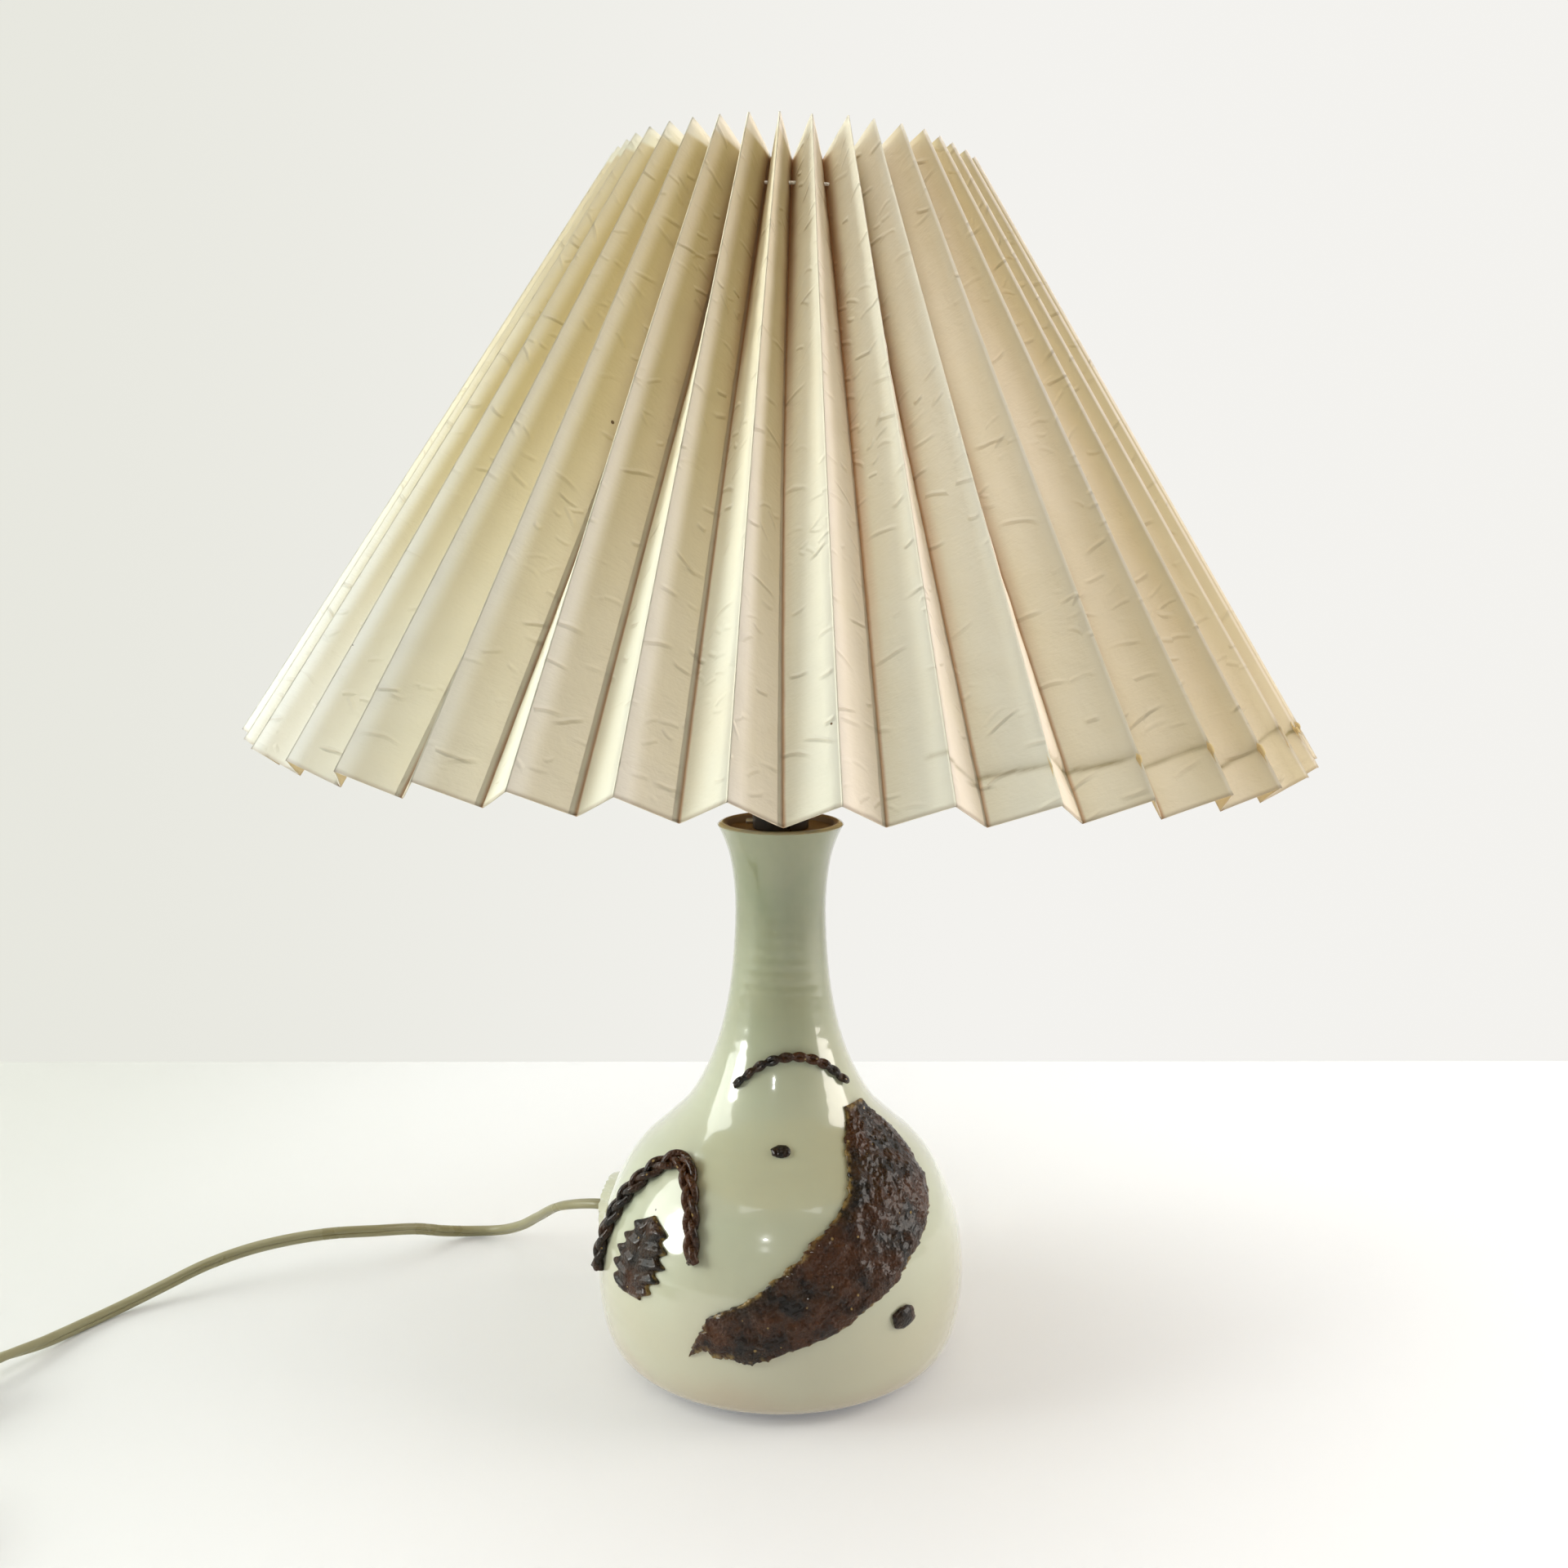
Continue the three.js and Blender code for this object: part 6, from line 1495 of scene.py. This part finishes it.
# The plug
# A flat moulded two-pin plug, 35 mm wide, with a tapered ribbed boot for the cord and two steel pins with
# black sleeves at their roots. It lies flat on the table beyond the coil.
BOOT_LENGTH, PLUG_LENGTH = 13 * MM, 34 * MM
boot_line = [(0, 0), (3.3, 0)]
for i in range(5):
    z, r = 1.2 + 2.3 * i, 3.35 + 0.2 * i
    boot_line += [(r, z), (r, z + 1.3), (r - 0.55, z + 1.5), (r - 0.55, z + 2.1)]
boot_line += [(4.4, 12.9), (0, 12.9)]
boot = lay_along(turn_mm(boot_line, 48), FRONT, boot_start + FRONT * 0.3 * MM)
plug_looks = (black_plastic, "foot", "plug_plastic")
plug_boot = make_piece("plug_boot_ribbed", boot, *plug_looks, ["plug_boot"])
half_plug = [(0, 10.85), (0.04, 12.2), (0.12, 14), (0.25, 16), (0.4, 17.1), (0.55, 17.5)]
half_plug += [(0.97, 17.5), (1, 16.9)]
right_side = [Vector((r * MM, (share - 0.5) * PLUG_LENGTH)) for share, r in half_plug]
plan = right_side + [Vector((-corner.x, corner.y)) for corner in reversed(right_side)]
plug_middle = boot_start + FRONT * (BOOT_LENGTH + 0.6 * MM + PLUG_LENGTH / 2)
plug_levels = [(2.2, 0), (0.9, 0.5), (0.2, 1.6), (0, 3), (0.25, 6.8)]
plug_levels += [(0, 10.6), (0.2, 12), (0.9, 13.1), (2.2, 13.6)]
plug_middle.z = 0
plug_matrix = Matrix.Translation(plug_middle) @ Matrix.Rotation(math.pi, 4, "Z")
plug_form = placed(layered(plan, plug_levels), plug_matrix)
plug_body = make_piece("plug_moulded", plug_form, *plug_looks, ["plug_body"], crease=50)
nickel = metal("nickel pins", (0.78, 0.76, 0.72, 1), (0.58, 0.56, 0.52, 1))
pin_root = boot_start + FRONT * (BOOT_LENGTH + PLUG_LENGTH + 0.9 * MM)
for number, side in ((1, -1), (2, 1)):
    pin_line = [(0, 0), (2, 0), (2, 9), (1.9, 9.2), (1.9, 17.2), (1.5, 18.5), (0.8, 19), (0, 19)]
    pin = lay_along(turn_mm(pin_line, 32), FRONT, pin_root - LEFT * side * 9.3 * MM)
    made = make_piece(f"pin_{number}", pin, nickel, "foot", "steel", [f"plug_pin_{number}"])
    made.data.materials.append(black_plastic)
    for face in made.data.polygons:
        if pin_root.y - face.center.y < 9.1 * MM:
            face.material_index = 1

cord_length(lamp_route)
[tuple(point) for point in lamp_route]
cord_length(wound_route)
[tuple(point) for point in wound_route]
